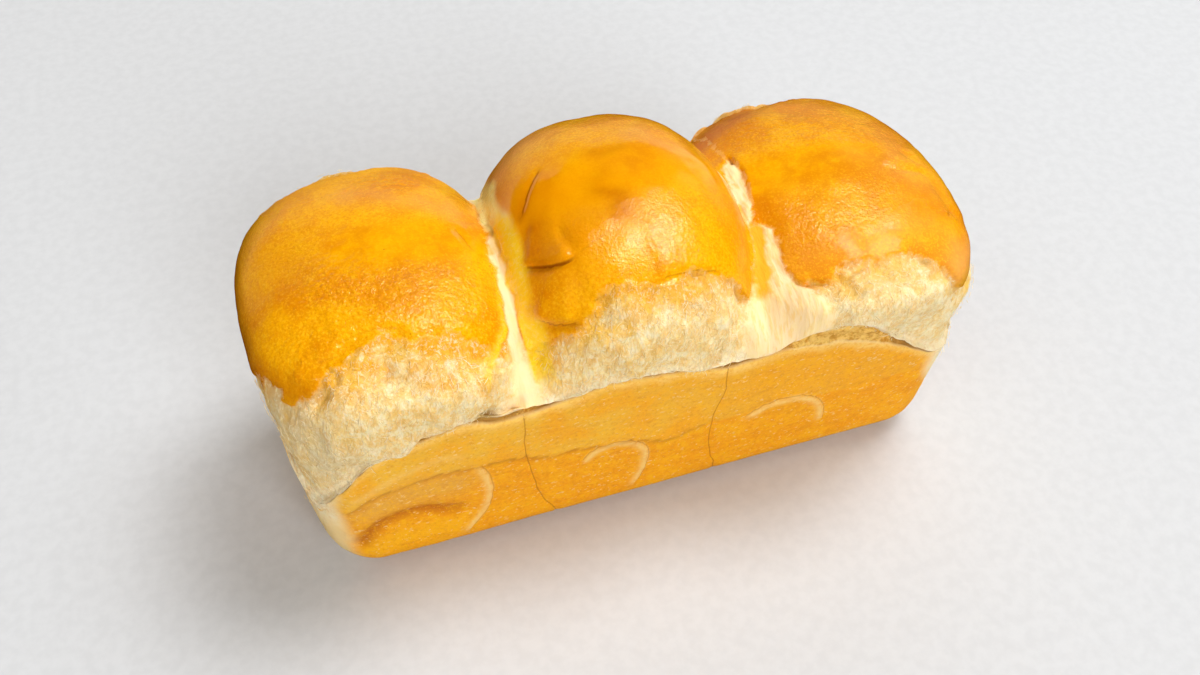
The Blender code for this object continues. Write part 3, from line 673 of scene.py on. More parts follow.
def dough_field(points):
    """Roughly the distance outside the dough above the tear, with all its lumps run together."""
    fields = [shoulder_field(points)]
    low = 1.0 - smooth_step(points[:, 2], SQUARE_BELOW, ROUND_ABOVE)
    squareness = TOP_SQUARENESS + (LOW_SQUARENESS - TOP_SQUARENESS) * low
    for hump in HUMPS:
        middle = np.array([hump["x"], hump["y"], HUMP_WAIST])
        halves = (hump["half_length"], hump["half_width"], hump["top"] - HUMP_WAIST)
        fullness = hump["fullness"]
        fields.append(ellipsoid_field(points, middle, halves, squareness, fullness, UNDERSIDE_STRETCH))
    for web in WEBS:
        middle = np.array([web["x"], 0.0, WEB_FOOT])
        halves = (web["half_length"], web["half_width"], web["top"] - WEB_FOOT)
        fields.append(ellipsoid_field(points, middle, halves, WEB_FULLNESS, WEB_FULLNESS, 1.0))
    total = np.zeros(len(points))
    for field in fields:
        total += np.exp(-np.clip(field, -0.05, 0.05) / BLEND)
    return -BLEND * np.log(total)


def find_skin(starts, directions):
    """Where rays from inside the loaf cross the dough's surface."""
    near = np.zeros(len(starts))
    far = np.full(len(starts), SEARCH_REACH)
    for _ in range(SEARCH_STEPS):
        middle = (near + far) / 2
        inside = dough_field(starts + directions * middle[:, None]) < 0
        near = np.where(inside, middle, near)
        far = np.where(inside, far, middle)
    return starts + directions * ((near + far) / 2)[:, None]


def spread_columns(u):
    """Moves the columns closer together at the valleys and seams, where the skin is steep."""
    samples = np.linspace(-1.0, 1.0, 801)
    density = np.ones(len(samples))
    for x in CROWDED_COLUMNS:
        density += COLUMN_CROWDING * np.exp(-((samples * BASE_LENGTH / 2 - x) / CROWDED_WIDTH) ** 2)
    travelled = np.concatenate([[0.0], np.cumsum((density[1:] + density[:-1]) / 2)])
    return np.interp((u + 1.0) / 2, travelled / travelled[-1], samples)


def wall_points(u, v, level):
    """The base, the roll round its edge and the leaning walls."""
    turn = np.clip(level / LEVELS_ROLL, 0.0, 1.0) * np.pi / 2
    _, outward = round_rectangle(u, v, BASE_LENGTH / 2, BASE_WIDTH / 2, CORNER_RADIUS)
    roll = END_BOTTOM_RADIUS * outward[:, 0] ** 2 + SIDE_BOTTOM_RADIUS * outward[:, 1] ** 2
    rim_length, rim_width = wall_half_sizes(TEAR_HEIGHT)
    rim, _ = round_rectangle(u, v, rim_length, rim_width, CORNER_RADIUS)
    tear = tear_height(rim)
    up_wall = np.clip((level - LEVELS_ROLL) / LEVELS_WALL, 0.0, 1.0)
    height = roll * (1.0 - np.cos(turn)) + (tear - roll) * up_wall
    half_length, half_width = wall_half_sizes(height)
    tuck = 1.0 - np.sin(turn)
    half_length = half_length - END_BOTTOM_RADIUS * tuck
    half_width = half_width - SIDE_BOTTOM_RADIUS * tuck
    radius = CORNER_RADIUS - CORNER_TIGHTENING * tuck
    plan, outward = round_rectangle(u, v, half_length, half_width, radius)
    return np.column_stack([plan, height]), outward


def wall_top(u, v):
    """The top of the browned wall, and the way out from it."""
    return wall_points(u, v, np.full(len(u), float(LIP_STARTS)))


def core_points(u, v):
    """Points on the flat strip inside the loaf from which the skin is looked for."""
    rim_length, _ = wall_half_sizes(TEAR_HEIGHT)
    x = np.clip(u * rim_length, CORE_END_GAP - rim_length, rim_length - CORE_END_GAP)
    return np.column_stack([x, v * CORE_HALF_WIDTH, np.full(len(u), CORE_HEIGHT)])


def lip_edge(u, v):
    """The outermost points of the torn lip, its underside's radius and height, and the way out."""
    top, outward = wall_top(u, v)
    flat_out = level_points(outward)
    underside = top[:, 2] + lip_gap(top[:, :2])
    start = top - flat_out * CORNER_RADIUS
    start[:, 2] = underside + LIP_RADIUS
    found = find_skin(start, flat_out)
    overhang = np.maximum(((found - top) * flat_out).sum(axis=1), LIP_LEAST)
    radius = np.minimum(overhang, LIP_RADIUS)
    edge = top + flat_out * overhang[:, None]
    edge[:, 2] = underside + radius
    return edge, radius, underside, flat_out


def lip_points(u, v, level):
    """The recessed gap above the browned wall, and the round underside of the lip over it."""
    edge, radius, underside, flat_out = lip_edge(u, v)
    top, _ = wall_top(u, v)
    step = level - LIP_STARTS
    arc_starts = NOTCH_ROWS + 1
    angle = -np.pi / 2 * (1.0 - np.clip((step - arc_starts) / (LEVELS_LIP - arc_starts), 0.0, 1.0))
    points = edge - flat_out * (radius * (1.0 - np.cos(angle)))[:, None]
    points[:, 2] += radius * np.sin(angle)
    part_way = step / arc_starts
    gap = underside - top[:, 2]
    depth = NOTCH_DEPTH * (1.0 - corner_nearness(top[:, :2])) * smooth_step(part_way, 0.0, NOTCH_FULL)
    sloping = smooth_step(gap, SLOPING_GAP, 2 * SLOPING_GAP)
    overhang = ((edge - top) * flat_out).sum(axis=1) - radius
    out = sloping * part_way * overhang - (1.0 - sloping) * depth
    notch = top + flat_out * out[:, None]
    notch[:, 2] += gap * part_way
    return np.where((step < arc_starts)[:, None], notch, points)


def hump_points(u, v, level):
    """The skin above the lip, on the sides and over the top."""
    start = core_points(u, v)
    rim_length, _ = wall_half_sizes(TEAR_HEIGHT)
    lean_x = (u * rim_length - start[:, 0]) / CORE_END_GAP
    lean = np.maximum(np.abs(lean_x), np.abs(v)) / np.maximum(np.hypot(lean_x, v), 1e-9)
    lean /= np.tan(SIDE_TOP_ANGLE)
    direction = np.column_stack([lean_x * lean, v * lean, np.ones(len(u))])
    on_side = np.maximum(np.abs(u), np.abs(v)) > 1.0 - 1e-6
    edge, _, _, _ = lip_edge(u[on_side], v[on_side])
    reach = edge - start[on_side]
    flat_reach = np.hypot(reach[:, 0], reach[:, 1])
    low_angle = np.arctan2(reach[:, 2], flat_reach)
    angle = low_angle + (SIDE_TOP_ANGLE - low_angle) * (level[on_side] - LIP_ENDS) / LEVELS_HUMP
    flat_way = reach[:, :2] / flat_reach[:, None]
    direction[on_side] = np.column_stack([flat_way * np.cos(angle)[:, None], np.sin(angle)])
    return find_skin(start, unit(direction))


def loaf_points(grid, level):
    """Moves the points of a gridded cube, from -1 to 1 each way, onto the loaf."""
    u = spread_columns(grid[:, 0])
    v = grid[:, 1]
    points = np.zeros_like(grid)
    wall = level <= LIP_STARTS
    hump = level > LIP_ENDS
    lip = ~wall & ~hump
    points[wall], _ = wall_points(u[wall], v[wall], level[wall])
    points[lip] = lip_points(u[lip], v[lip], level[lip])
    points[hump] = hump_points(u[hump], v[hump], level[hump])
    return points


def rise_angle(points):
    """Angle above level, in degrees, at which a point is seen from the loaf's core."""
    rim_length, _ = wall_half_sizes(TEAR_HEIGHT)
    end = rim_length - CORE_END_GAP
    across = np.hypot(points[:, 0] - np.clip(points[:, 0], -end, end), points[:, 1])
    return np.degrees(np.arctan2(points[:, 2] - CORE_HEIGHT, across))


def unit(vectors):
    """The vectors, each made one long."""
    return vectors / np.linalg.norm(vectors, axis=1)[:, None]


def rounded(path):
    """A path in millimetres, in metres and with its corners cut off twice over, so that it bends softly."""
    path = np.array(path) / 1000
    for _ in range(2):
        early = 0.75 * path[:-1] + 0.25 * path[1:]
        late = 0.25 * path[:-1] + 0.75 * path[1:]
        cut = np.stack([early, late], axis=1).reshape(-1, path.shape[1])
        path = np.vstack([path[:1], cut[1:-1], path[-1:]])
    return path


def path_distance(points, path):
    """Distance to a softened path, the side that each point is on, and how far from an end that is."""
    path = rounded(path)
    lengths = np.linalg.norm(path[1:] - path[:-1], axis=1)
    travelled = np.concatenate([[0.0], np.cumsum(lengths)])
    nearest = np.full(len(points), np.inf)
    side = np.zeros(len(points))
    inset = np.zeros(len(points))
    for number, (start, end) in enumerate(zip(path[:-1], path[1:])):
        along = end - start
        part = np.clip((points - start) @ along / (along @ along), 0.0, 1.0)
        offset = points - start - part[:, None] * along
        distance = np.linalg.norm(offset, axis=1)
        turn = along[0] * offset[:, 1] - along[1] * offset[:, 0]
        place = travelled[number] + part * lengths[number]
        closer = distance < nearest
        nearest = np.where(closer, distance, nearest)
        side = np.where(closer, np.sign(turn), side)
        inset = np.where(closer, np.minimum(place, travelled[-1] - place), inset)
    return nearest, side, inset


def near(distance, width):
    """1 on a line and falling softly to 0 about two widths away."""
    return np.exp(-(distance / width) ** 2)


def nearer(reach, distance, side, where=True):
    """A reach in millimetres, replaced by the distance to another line where that one is nearer."""
    closer = where & (distance * 1000 < np.abs(reach))
    return np.where(closer, distance * side * 1000, reach)


def crust_reach(points):
    """Millimetres that a point lies inside the ragged edge of the browned crust; negative outside."""
    x = points[:, 0]
    front, back = (soft_line(x, line, 1, *RIM_SOFTENING) for line in (FRONT_RIM, BACK_RIM))
    rim = front_back_end(points[:, :2], front, back, np.where(x < 0, *END_RIM_ANGLES))
    reach = (rise_angle(points) - rim + ragged(points, RIM_RAGGED)) * MILLIMETRES_PER_DEGREE
    for edges in valley_edges(points):
        reach = np.minimum(reach, np.maximum(edges[0], -edges[3]))
    return np.clip(reach, -FARTHEST, FARTHEST)


def valley_edges(points):
    """For each valley, the millimetres that each point lies left of its four edges."""
    x = (points[:, 0] + ragged(points, VALLEY_RAGGED)) * 1000
    found = []
    for rows in VALLEYS:
        places, *edges = np.array(rows).T
        found.append([np.interp(points[:, 1] * 1000, places, edge) - x for edge in edges])
    return found


def strand_reach(points):
    """How far a point lies inside the cream strand of each valley: millimetres, but less further down."""
    softness = 1.0 + STRAND_SOFTNESS * (1.0 - smooth_step(points[:, 2], *STRAND_CRISP))
    inside = [np.minimum(-edges[1], edges[2]) / softness for edges in valley_edges(points)]
    return np.clip(inside, -FARTHEST, FARTHEST)


def flank_cover(points):
    """How much of a point is the yellow flank beside the first valley."""
    x, y, _ = points.T
    left, _, right, _ = valley_edges(points)[0]
    places, ends = np.array(FLANK_END).T / 1000
    past_end = x - np.interp(y, places, ends) - ragged(points, FLANK_WANDER)
    flank = smooth_step(-right, *FLANK_FROM_STRAND) * (1.0 - smooth_step(past_end, *FLANK_FADE))
    flank *= smooth_step(y, *FLANK_FRONT)
    beside = smooth_step(left, *BESIDE_FROM_STRAND) * (1.0 - smooth_step(left, *BESIDE_FADE))
    beside *= smooth_step(y, *BESIDE_FRONT) * (1.0 - smooth_step(y, *BESIDE_BACK))
    return np.maximum(flank, BESIDE_SHARE * beside)


def fine_folds(points):
    """Folds and creases of the humps: their relief, and how far and how brown the nearest one is, a brown
    that is also painted shade in the creases.
    """
    height = np.zeros(len(points))
    crease = np.full(len(points), FARTHEST)
    brown = np.zeros(len(points))
    for path, brownness, *sizes in FINE_FOLDS:
        raised, soft, depth, width = np.array(sizes) / 1000
        distance, side, inset = path_distance(points, path)
        share = smooth_step(inset, 0.0, FOLD_TAPER)
        flap = near(distance, FOLD_FADE) * smooth_step(distance * side, -soft, soft)
        height += share * (raised * flap - depth * near(distance, width))
        crease = nearer(crease, distance, side)
        # Brown along the creases, which is also painted shade
        brown = np.maximum(brown, share * brownness * near(distance, CREASE_WIDTH))
    for middle, radius, depth in HOLLOWS:
        distance = np.linalg.norm(points - middle, axis=1)
        height -= depth * near(distance, radius)
    return height, crease, brown


def patches(points, name):
    """How strongly each point is covered by any patch of one kind."""
    cover = np.zeros(len(points))
    wander = ragged(points, PATCH_WANDER)[:, None]
    for turn in ((1.0, 1.0, 1.0), (-1.0, -1.0, 1.0))[:1 + (name in TURNED_TOO)]:
        for path, radius, strength in PATCHES[name]:
            distance, _, _ = path_distance(points * turn + wander, path)
            cover = np.maximum(cover, strength * near(distance, radius / 1000))
    return cover


def wall_marks(points):
    """The walls' seams, layer, roll ends and soft places: their relief, and where a point lies on them."""
    height = np.zeros(len(points))
    marks = {name: np.full(len(points), FARTHEST) for name in ("seam", "roll")}
    marks.update({name: np.zeros(len(points)) for name in ("lower", "shadow_under_layer", "pad", *WALL_SPOTS)})
    wander = ragged(points, WALL_WANDER)[:, None]
    for side in (-1.0, 1.0):
        flat = np.column_stack([-side * points[:, 0], points[:, 2]]) + wander
        facing = smooth_step(side * points[:, 1], *WALL_FACE)
        for path in SEAMS:
            distance, turn, _ = path_distance(flat, path)
            height -= facing * SEAM_DEPTH * near(distance, SEAM_WIDTH)
            marks["seam"] = nearer(marks["seam"], distance, turn, facing > 0)
        distance, turn, inset = path_distance(flat, LAYER_EDGE)
        share = facing * smooth_step(inset, 0.0, LINE_TAPER)
        over_edge = smooth_step(distance * turn, *LAYER_EDGE_SIDES)
        height += share * LAYER_STEP * np.exp(-distance / LAYER_FADE) * over_edge
        # Where painted shadow lies, just under the layer's edge
        marks["shadow_under_layer"] += share * near(distance, LAYER_LINE_WIDTH) * (turn < 0)
        places, heights = np.array(LAYER_EDGE).T / 1000
        below = np.interp(flat[:, 0], places, heights) - flat[:, 1]
        marks["lower"] += facing * smooth_step(below, *LOWER_FROM_EDGE)
        for path in ROLL_ENDS:
            distance, turn, inset = path_distance(flat, path)
            share = facing * smooth_step(inset, 0.0, LINE_TAPER)
            within = smooth_step(-distance * turn, *ROLL_PAD_SIDES)
            height += share * ROLL_PAD_HEIGHT * np.exp(-distance / ROLL_PAD_FADE) * within
            height -= share * ROLL_EDGE_DEPTH * near(distance, SEAM_WIDTH)
            pad = share * near(distance - PALE_PAD_INSET, PALE_PAD_WIDTH) * within
            marks["pad"] = np.maximum(marks["pad"], pad)
            marks["roll"] = nearer(marks["roll"], distance, -turn, share > 0.5)
        for name, (path, width) in WALL_SPOTS.items():
            distance, _, _ = path_distance(flat, path)
            marks[name] = np.maximum(marks[name], facing * near(distance, width))
        distance, _, inset = path_distance(flat, PALE_STREAK)
        streak = facing * near(distance, PALE_STREAK_WIDTH) * smooth_step(inset, 0.0, LINE_TAPER)
        marks["pad"] = np.maximum(marks["pad"], PALE_STREAK_SHARE * streak)
    return height - WALL_HOLLOW_DEPTH * marks["hollow"], marks


def corner_cover(points):
    """1 along the walls' four upright corners, falling to 0 a little way round them."""
    half_length, half_width = wall_half_sizes(points[:, 2])
    along = half_length - np.abs(points[:, 0])
    across = half_width - np.abs(points[:, 1])
    far = np.maximum(along, END_FACE_SHARE * across) + ragged(points, CORNER_WANDER)
    narrow, wide = PALE_RIGHT_CORNER
    spread = narrow + (wide - narrow) * smooth_step(points[:, 2], *PALE_RIGHT_HEIGHTS)
    spread = np.where(points[:, 0] * points[:, 1] < 0, spread, 1.0)
    return 1.0 - smooth_step(far / spread, *PALE_CORNER)


def skin_zones(points, level):
    """What each point of the skin shows, how far it stands out, and how fibrous it is. Reaches are in
    millimetres.
    """
    x, y, z = points.T
    plan = points[:, :2]
    gap_height = lip_gap(plan)
    over_tear = z - tear_height(plan)
    over_lip = over_tear - gap_height
    off_corner = 1.0 - corner_nearness(plan)
    corner = corner_cover(points)
    wall = (level <= LIP_STARTS).astype(float)
    gap = ((level > LIP_STARTS) & (level <= LIP_STARTS + NOTCH_ROWS)).astype(float)
    above = 1.0 - wall - gap
    torn_corner = wall * corner * smooth_step(over_tear, *TORN_CORNER)
    wall -= torn_corner
    zones = {name: patches(points, name) for name in PATCHES}
    opened = zones.pop("opened")
    crust = crust_reach(points) - OPENED_BY * opened
    crust_step = smooth_step(crust, -STEP_WIDTH, STEP_WIDTH) * above
    first, second = strand_reach(points)
    strand = np.maximum(first, second)
    strand_step = smooth_step(strand, -STEP_WIDTH, STEP_WIDTH) * above
    folds, crease, creased = fine_folds(points)
    wall_relief, marks = wall_marks(points)
    crevice = near(ragged(points * TORN_STRETCH, CREVICES), CREVICE_WIDTH)
    crevice *= CREVICE_LEAST + (1.0 - CREVICE_LEAST) * smooth_step(crust, *CREVICE_NEAR_CRUST)
    under_tear = ragged(points, UNDER_TEAR_RAGGED) - over_tear
    zones.update(
        marks,
        crust=crust,
        crease=crease,
        creased=creased,
        any_line=np.abs([crease, marks["seam"], marks["roll"]]).min(axis=0),
        pebbled=1.0 - smooth_step(rise_angle(points), *PEBBLED_TO_SMOOTH),
        strand=strand,
        threads=smooth_step(second, *THREADS_FROM_EDGE) * above,
        flank=flank_cover(points) * above,
        flank_top=smooth_step(y, *FLANK_TOP),
        above=np.minimum(above + torn_corner, 1.0),
        wall=wall,
        gap=gap * off_corner,
        narrow_gap=1.0 - smooth_step(gap_height, *NARROW_GAP),
        over_lip=np.clip(over_lip * 1000, 0.0, FARTHEST),
        crevice=crevice,
        corner=corner,
        under_tear=1.0 - smooth_step(under_tear, 0.0, PALE_UNDER_TEAR),
        right=smooth_step(x, *TO_THE_RIGHT),
    )
    humps = smooth_step(over_tear, *HUMP_RELIEF) * (ragged(points, HUMP_UNEVENNESS) + folds)
    humps += OPEN_LUMPS * opened - POCKET_DEPTH * zones["pocket"]
    humps += crust_step * (FINE_RIM_STEP + ragged(points, CRUST_UNEVENNESS))
    lumps = smooth_step(y, *LUMPY_STRAND) * (second > first) * ragged(points, STRAND_LUMPS)
    humps += strand_step * (ragged(points * STRAND_STRETCH, STRAND_RIDGES) + lumps)
    walls = smooth_step(z, 0.0, SIDE_BOTTOM_RADIUS) * (ragged(points, WALL_UNEVENNESS) + wall_relief)
    torn = above * (1.0 - crust_step) * (1.0 - strand_step) * smooth_step(over_lip, *TORN_FROM_LIP)
    torn = np.maximum(torn, torn_corner)
    calm = (1.0 - off_corner) * (1.0 - smooth_step(over_lip, 0.0, CORNER_CALM))
    craggy = torn * (1.0 - calm) * (1.0 - END_CALM_SHARE * smooth_step(np.abs(x), *END_CALM))
    crags = ragged(points * TORN_STRETCH, TORN_LUMPS) - CREVICE_DEPTH * crevice
    height = above * humps + wall * walls + gap * ragged(points, GAP_CRUMBS) + craggy * crags
    return zones, height, torn * smooth_step(-crust, *FIBRES_FROM_CRUST)


def box_grid(counts):
    """Points from -1 to 1 on the faces of a gridded box, and its quads. The base is one face."""
    size = np.array(counts) + 1
    outer = np.zeros(size, bool)
    outer[[0, -1], :, :] = True
    outer[:, [0, -1], :] = True
    outer[:, :, -1] = True
    number = np.full(size, -1)
    number[outer] = np.arange(outer.sum())
    places = np.argwhere(outer) / np.array(counts) * 2.0 - 1.0
    sheets = (
        number[:, :, -1],
        number[:, 0, :],
        number[::-1, -1, :],
        number[-1, :, :],
        number[0, ::-1, :],
    )
    quads = []
    for sheet in sheets:
        corners = (sheet[:-1, :-1], sheet[1:, :-1], sheet[1:, 1:], sheet[:-1, 1:])
        quads.extend(np.stack(corners, axis=-1).reshape(-1, 4).tolist())
    base = number[:, :, 0]
    rim = [*base[:-1, 0], *base[-1, :-1], *base[:0:-1, -1], *base[0, :0:-1]]
    return places, quads, [int(corner) for corner in reversed(rim)]


def make_piece(name, points, faces):
    """A new object of these points and faces, shaded smooth and in the scene."""
    mesh = bpy.data.meshes.new(name)
    mesh.from_pydata(points.tolist(), [], faces)
    mesh.shade_smooth()
    mesh.update()
    piece = bpy.data.objects.new(name, mesh)
    bpy.context.scene.collection.objects.link(piece)
    return piece


def make_skin():
    """The loaf's visible skin with its zones as named values of its points, and where its fibres root."""
    grid, quads, base = box_grid((COLUMNS, ROWS_DEEP, LEVELS))
    level = np.round((grid[:, 2] + 1.0) / 2 * LEVELS)
    points = loaf_points(grid, level)
    skin = make_piece("loaf_skin", points, quads + [base])
    mesh = skin.data
    normals = np.zeros(len(points) * 3, np.float32)
    mesh.vertex_normals.foreach_get("vector", normals)
    normals = normals.reshape(-1, 3)
    zones, height, fibrous = skin_zones(points, level)
    points += normals * height[:, None]
    points[:, :2] -= (points[:, :2].min(axis=0) + points[:, :2].max(axis=0)) / 2
    mesh.vertices.foreach_set("co", points.ravel())
    for name, values in zones.items():
        attribute = mesh.attributes.new(name, "FLOAT", "POINT")
        attribute.data.foreach_set("value", values.astype(np.float32))
    mesh.update()
    rooted = fibrous > FIBRE_GROUND
    return skin, points[rooted], normals[rooted]


def make_fibres(roots, normals):
    """Short tapered threads of torn crumb, lying on the torn sides and mostly hanging down."""
    random = np.random.default_rng(FIBRE_SEED)
    chosen = random.choice(len(roots), FIBRES, replace=True)
    out = normals[chosen]
    root = roots[chosen] + FIBRE_SCATTER * random.normal(size=(FIBRES, 3))
    down = np.tile((0.0, 0.0, -1.0), (FIBRES, 1))
    down = unit(down - out * (down * out).sum(axis=1)[:, None])
    across = np.cross(out, down)
    angle = random.normal(0.0, FIBRE_SPREAD, FIBRES)
    length = random.uniform(*FIBRE_LENGTHS, FIBRES)
    bend = random.normal(0.0, FIBRE_BEND, FIBRES)
    radius = random.uniform(*FIBRE_RADII, FIBRES)
    lift = random.uniform(*FIBRE_LIFTS, FIBRES)
    place = root - out * FIBRE_SUNK
    first, span = FIBRE_PROFILE
    turns = np.arange(FIBRE_SIDES) / FIBRE_SIDES * 2 * np.pi
    rings = []
    for part in np.arange(FIBRE_STEPS + 1) / FIBRE_STEPS:
        heading = angle + bend * part
        along = down * np.cos(heading)[:, None] + across * np.sin(heading)[:, None]
        rise = lift * (np.sin(np.pi * part) - FIBRE_CURL * part ** 2)
        centre = place + out * rise[:, None]
        side = np.cross(along, out)
        thick = radius * (FIBRE_TIP + (1.0 - FIBRE_TIP) * np.sin(np.pi * (first + span * part)))
        for turn in turns:
            around = side * np.cos(turn) + out * np.sin(turn)
            rings.append(centre + around * thick[:, None])
        place = place + along * (length / FIBRE_STEPS)[:, None]
    points = np.stack(rings, axis=1)
    faces = []
    for step, turn in product(range(FIBRE_STEPS), range(FIBRE_SIDES)):
        after = (turn + 1) % FIBRE_SIDES
        low = step * FIBRE_SIDES
        high = low + FIBRE_SIDES
        faces.append((low + turn, low + after, high + after, high + turn))
    faces = np.array(faces) + np.arange(FIBRES)[:, None, None] * points.shape[1]
    return make_piece("torn_fibres", points.reshape(-1, 3), faces.reshape(-1, 4).tolist())


def linear(colour):
    """Shader values for a colour given as it is seen, from 0 to 255."""
    seen = np.array(colour) / 255.0
    values = np.where(seen <= 0.04045, seen / 12.92, ((seen + 0.055) / 1.055) ** 2.4)
    return (*values, 1.0)


class Shader:
    """Adds nodes to one material and links them. Each call gives the new node's output socket. An input is
    a number, a socket, or the name of one of the skin's zones.
    """

    def __init__(self, name):
        self.material = bpy.data.materials.new(name)
        self.material.use_nodes = True
        self.nodes = self.material.node_tree.nodes
        self.coords = self.nodes.new("ShaderNodeTexCoord").outputs["Object"]

    def add(self, kind, inputs, **settings):
        """A node of this kind, with its settings made and its inputs set or linked."""
        node = self.nodes.new("ShaderNode" + kind)
        for name, value in settings.items():
            setattr(node, name, value)
        self.fill(node, inputs)
        return node

    def fill(self, node, inputs):
        """Sets or links a node's inputs, given by name or number."""
        for name, value in inputs.items():
            if isinstance(value, str):
                value = self.add("Attribute", {}, attribute_name=value).outputs["Fac"]
            if isinstance(value, bpy.types.NodeSocket):
                self.material.node_tree.links.new(value, node.inputs[name])
            else:
                node.inputs[name].default_value = value

    def dress(self, inputs):
        """Sets or links the inputs of the material's own shader."""
        self.fill(self.nodes["Principled BSDF"], inputs)

    def math(self, operation, *values):
        """One operation on up to three values."""
        return self.add("Math", dict(enumerate(values)), operation=operation).outputs["Value"]

    def times(self, first, second):
        """The product of two values."""
        return self.math("MULTIPLY", first, second)

    def mix(self, share, first, second):
        """One colour where the share is 0 and another where it is 1."""
        node = self.add("Mix", {"Factor": share}, data_type="RGBA")
        for name, value in (("A", first), ("B", second)):
            place = [each.name == name and each.type == "RGBA" for each in node.inputs].index(True)
            self.fill(node, {place: linear(value) if isinstance(value, tuple) else value})
        return [each for each in node.outputs if each.type == "RGBA"][0]

    def layers(self, colour, *rows):
        """A colour with tints laid over it in turn. Each row gives a tint and its share."""
        for tint, share in rows:
            colour = self.mix(share, colour, tint)
        return colour

    def stretched(self, scale):
        """The object's coordinates, scaled along each axis."""
        return self.add("Mapping", {"Vector": self.coords, "Scale": scale}).outputs["Vector"]

    def noise(self, cell, detail=3.0, roughness=0.55, distortion=0.0, stretch=(1.0, 1.0, 1.0)):
        """Soft noise between 0 and 1, with spots about as wide as a cell."""
        inputs = {"Vector": self.stretched(stretch), "Scale": 1.0 / cell, "Detail": detail}
        inputs.update(Roughness=roughness, Distortion=distortion)
        return self.add("TexNoise", inputs).outputs["Fac"]

    def cells(self, cell):
        """Distance from scattered spots, in parts of a cell."""
        inputs = {"Vector": self.stretched((1.0, 1.0, 1.0)), "Scale": 1.0 / cell}
        return self.add("TexVoronoi", inputs).outputs["Distance"]

    def between(self, value, low, high, start=0.0, end=1.0):
        """From start to end as the value goes from low to high."""
        inputs = {"Value": value, "From Min": low, "From Max": high, "To Min": start, "To Max": end}
        return self.add("MapRange", inputs, interpolation_type="SMOOTHSTEP").outputs["Result"]

    def threads(self, cell, width, distortion, stretch):
        """Thin curved lines, 1 along each line."""
        noise = self.noise(cell, 1.0, 0.5, distortion, stretch)
        off_line = self.math("ABSOLUTE", self.math("SUBTRACT", noise, 0.5))
        return self.between(off_line, width * 0.3, width, 1.0, 0.0)

    def line(self, zone, full, faded, share=1.0):
        """The share of a line's colour, at distances from it in millimetres. It keeps to real lines."""
        drawn = self.between(self.math("ABSOLUTE", zone), full, faded, share, 0.0)
        return self.times(drawn, self.between("any_line", 0.9, 1.3, 1.0, 0.0))

    def edge(self, reach, cell, wander, width):
        """1 inside an edge given by a reach in millimetres, with fine raggedness of its own."""
        noise = self.math("SUBTRACT", self.noise(cell, 3.0, 0.6), 0.5)
        return self.between(self.math("MULTIPLY_ADD", noise, wander, reach), -width, width)


def crust_colour(bread):
    """Egg-washed crust: golden orange in soft clouds and fine grain, with brown and deep patches that are
    partly painted shade, tan patches that are partly painted sheen, and creases browned with painted shade.
    """
    clouds = bread.math("MULTIPLY_ADD", "right", -0.09, bread.noise(0.018, 4.0, 0.6))
    mottle = bread.noise(0.0032, 4.0, 0.7)
    grain = bread.noise(0.00070, 3.0, 0.65)
    grainy = bread.math("MULTIPLY_ADD", "pebbled", 0.55, 0.45)
    specks = bread.between(bread.cells(0.0045), 0.030, 0.060, 0.8, 0.0)
    chosen = bread.between(bread.noise(0.009, 1.0), 0.60, 0.62)
    return bread.layers(
        CRUST_DEEP,
        (CRUST_MAIN, bread.between(clouds, 0.32, 0.54)),
        (CRUST_LIGHT, bread.between(clouds, 0.50, 0.76)),
        (CRUST_LIGHT, bread.between(mottle, 0.50, 0.68, 0.0, 0.35)),
        (CRUST_DEEP, bread.between(mottle, 0.32, 0.48, 0.35, 0.0)),
        (CRUST_SPECKLE, bread.times(grainy, bread.between(grain, 0.52, 0.64, 0.0, 0.46))),
        (CRUST_DEEP, bread.times(grainy, bread.between(grain, 0.35, 0.48, 0.60, 0.0))),
        # Deeper tone, and painted shade in the middle hump's dents
        (CRUST_DEEP, bread.times("deep", 0.8)),
        # Tan tone, and painted sheen
        (CRUST_TAN_SHEEN, bread.times("tan", 0.9)),
        # Browning, and painted shade on the right hump's back-left flank and in the middle hump's dent
        (CRUST_BROWN, bread.times("brown", bread.between(mottle, 0.2, 0.7, 0.45, 1.0))),
        # Crease browning with painted shade in the creases
        (CREASE_BROWN_AND_SHADE, bread.times("creased", bread.line("crease", 0.08, 0.55))),
        (CRUST_BROWN, bread.times(specks, chosen)),
    )


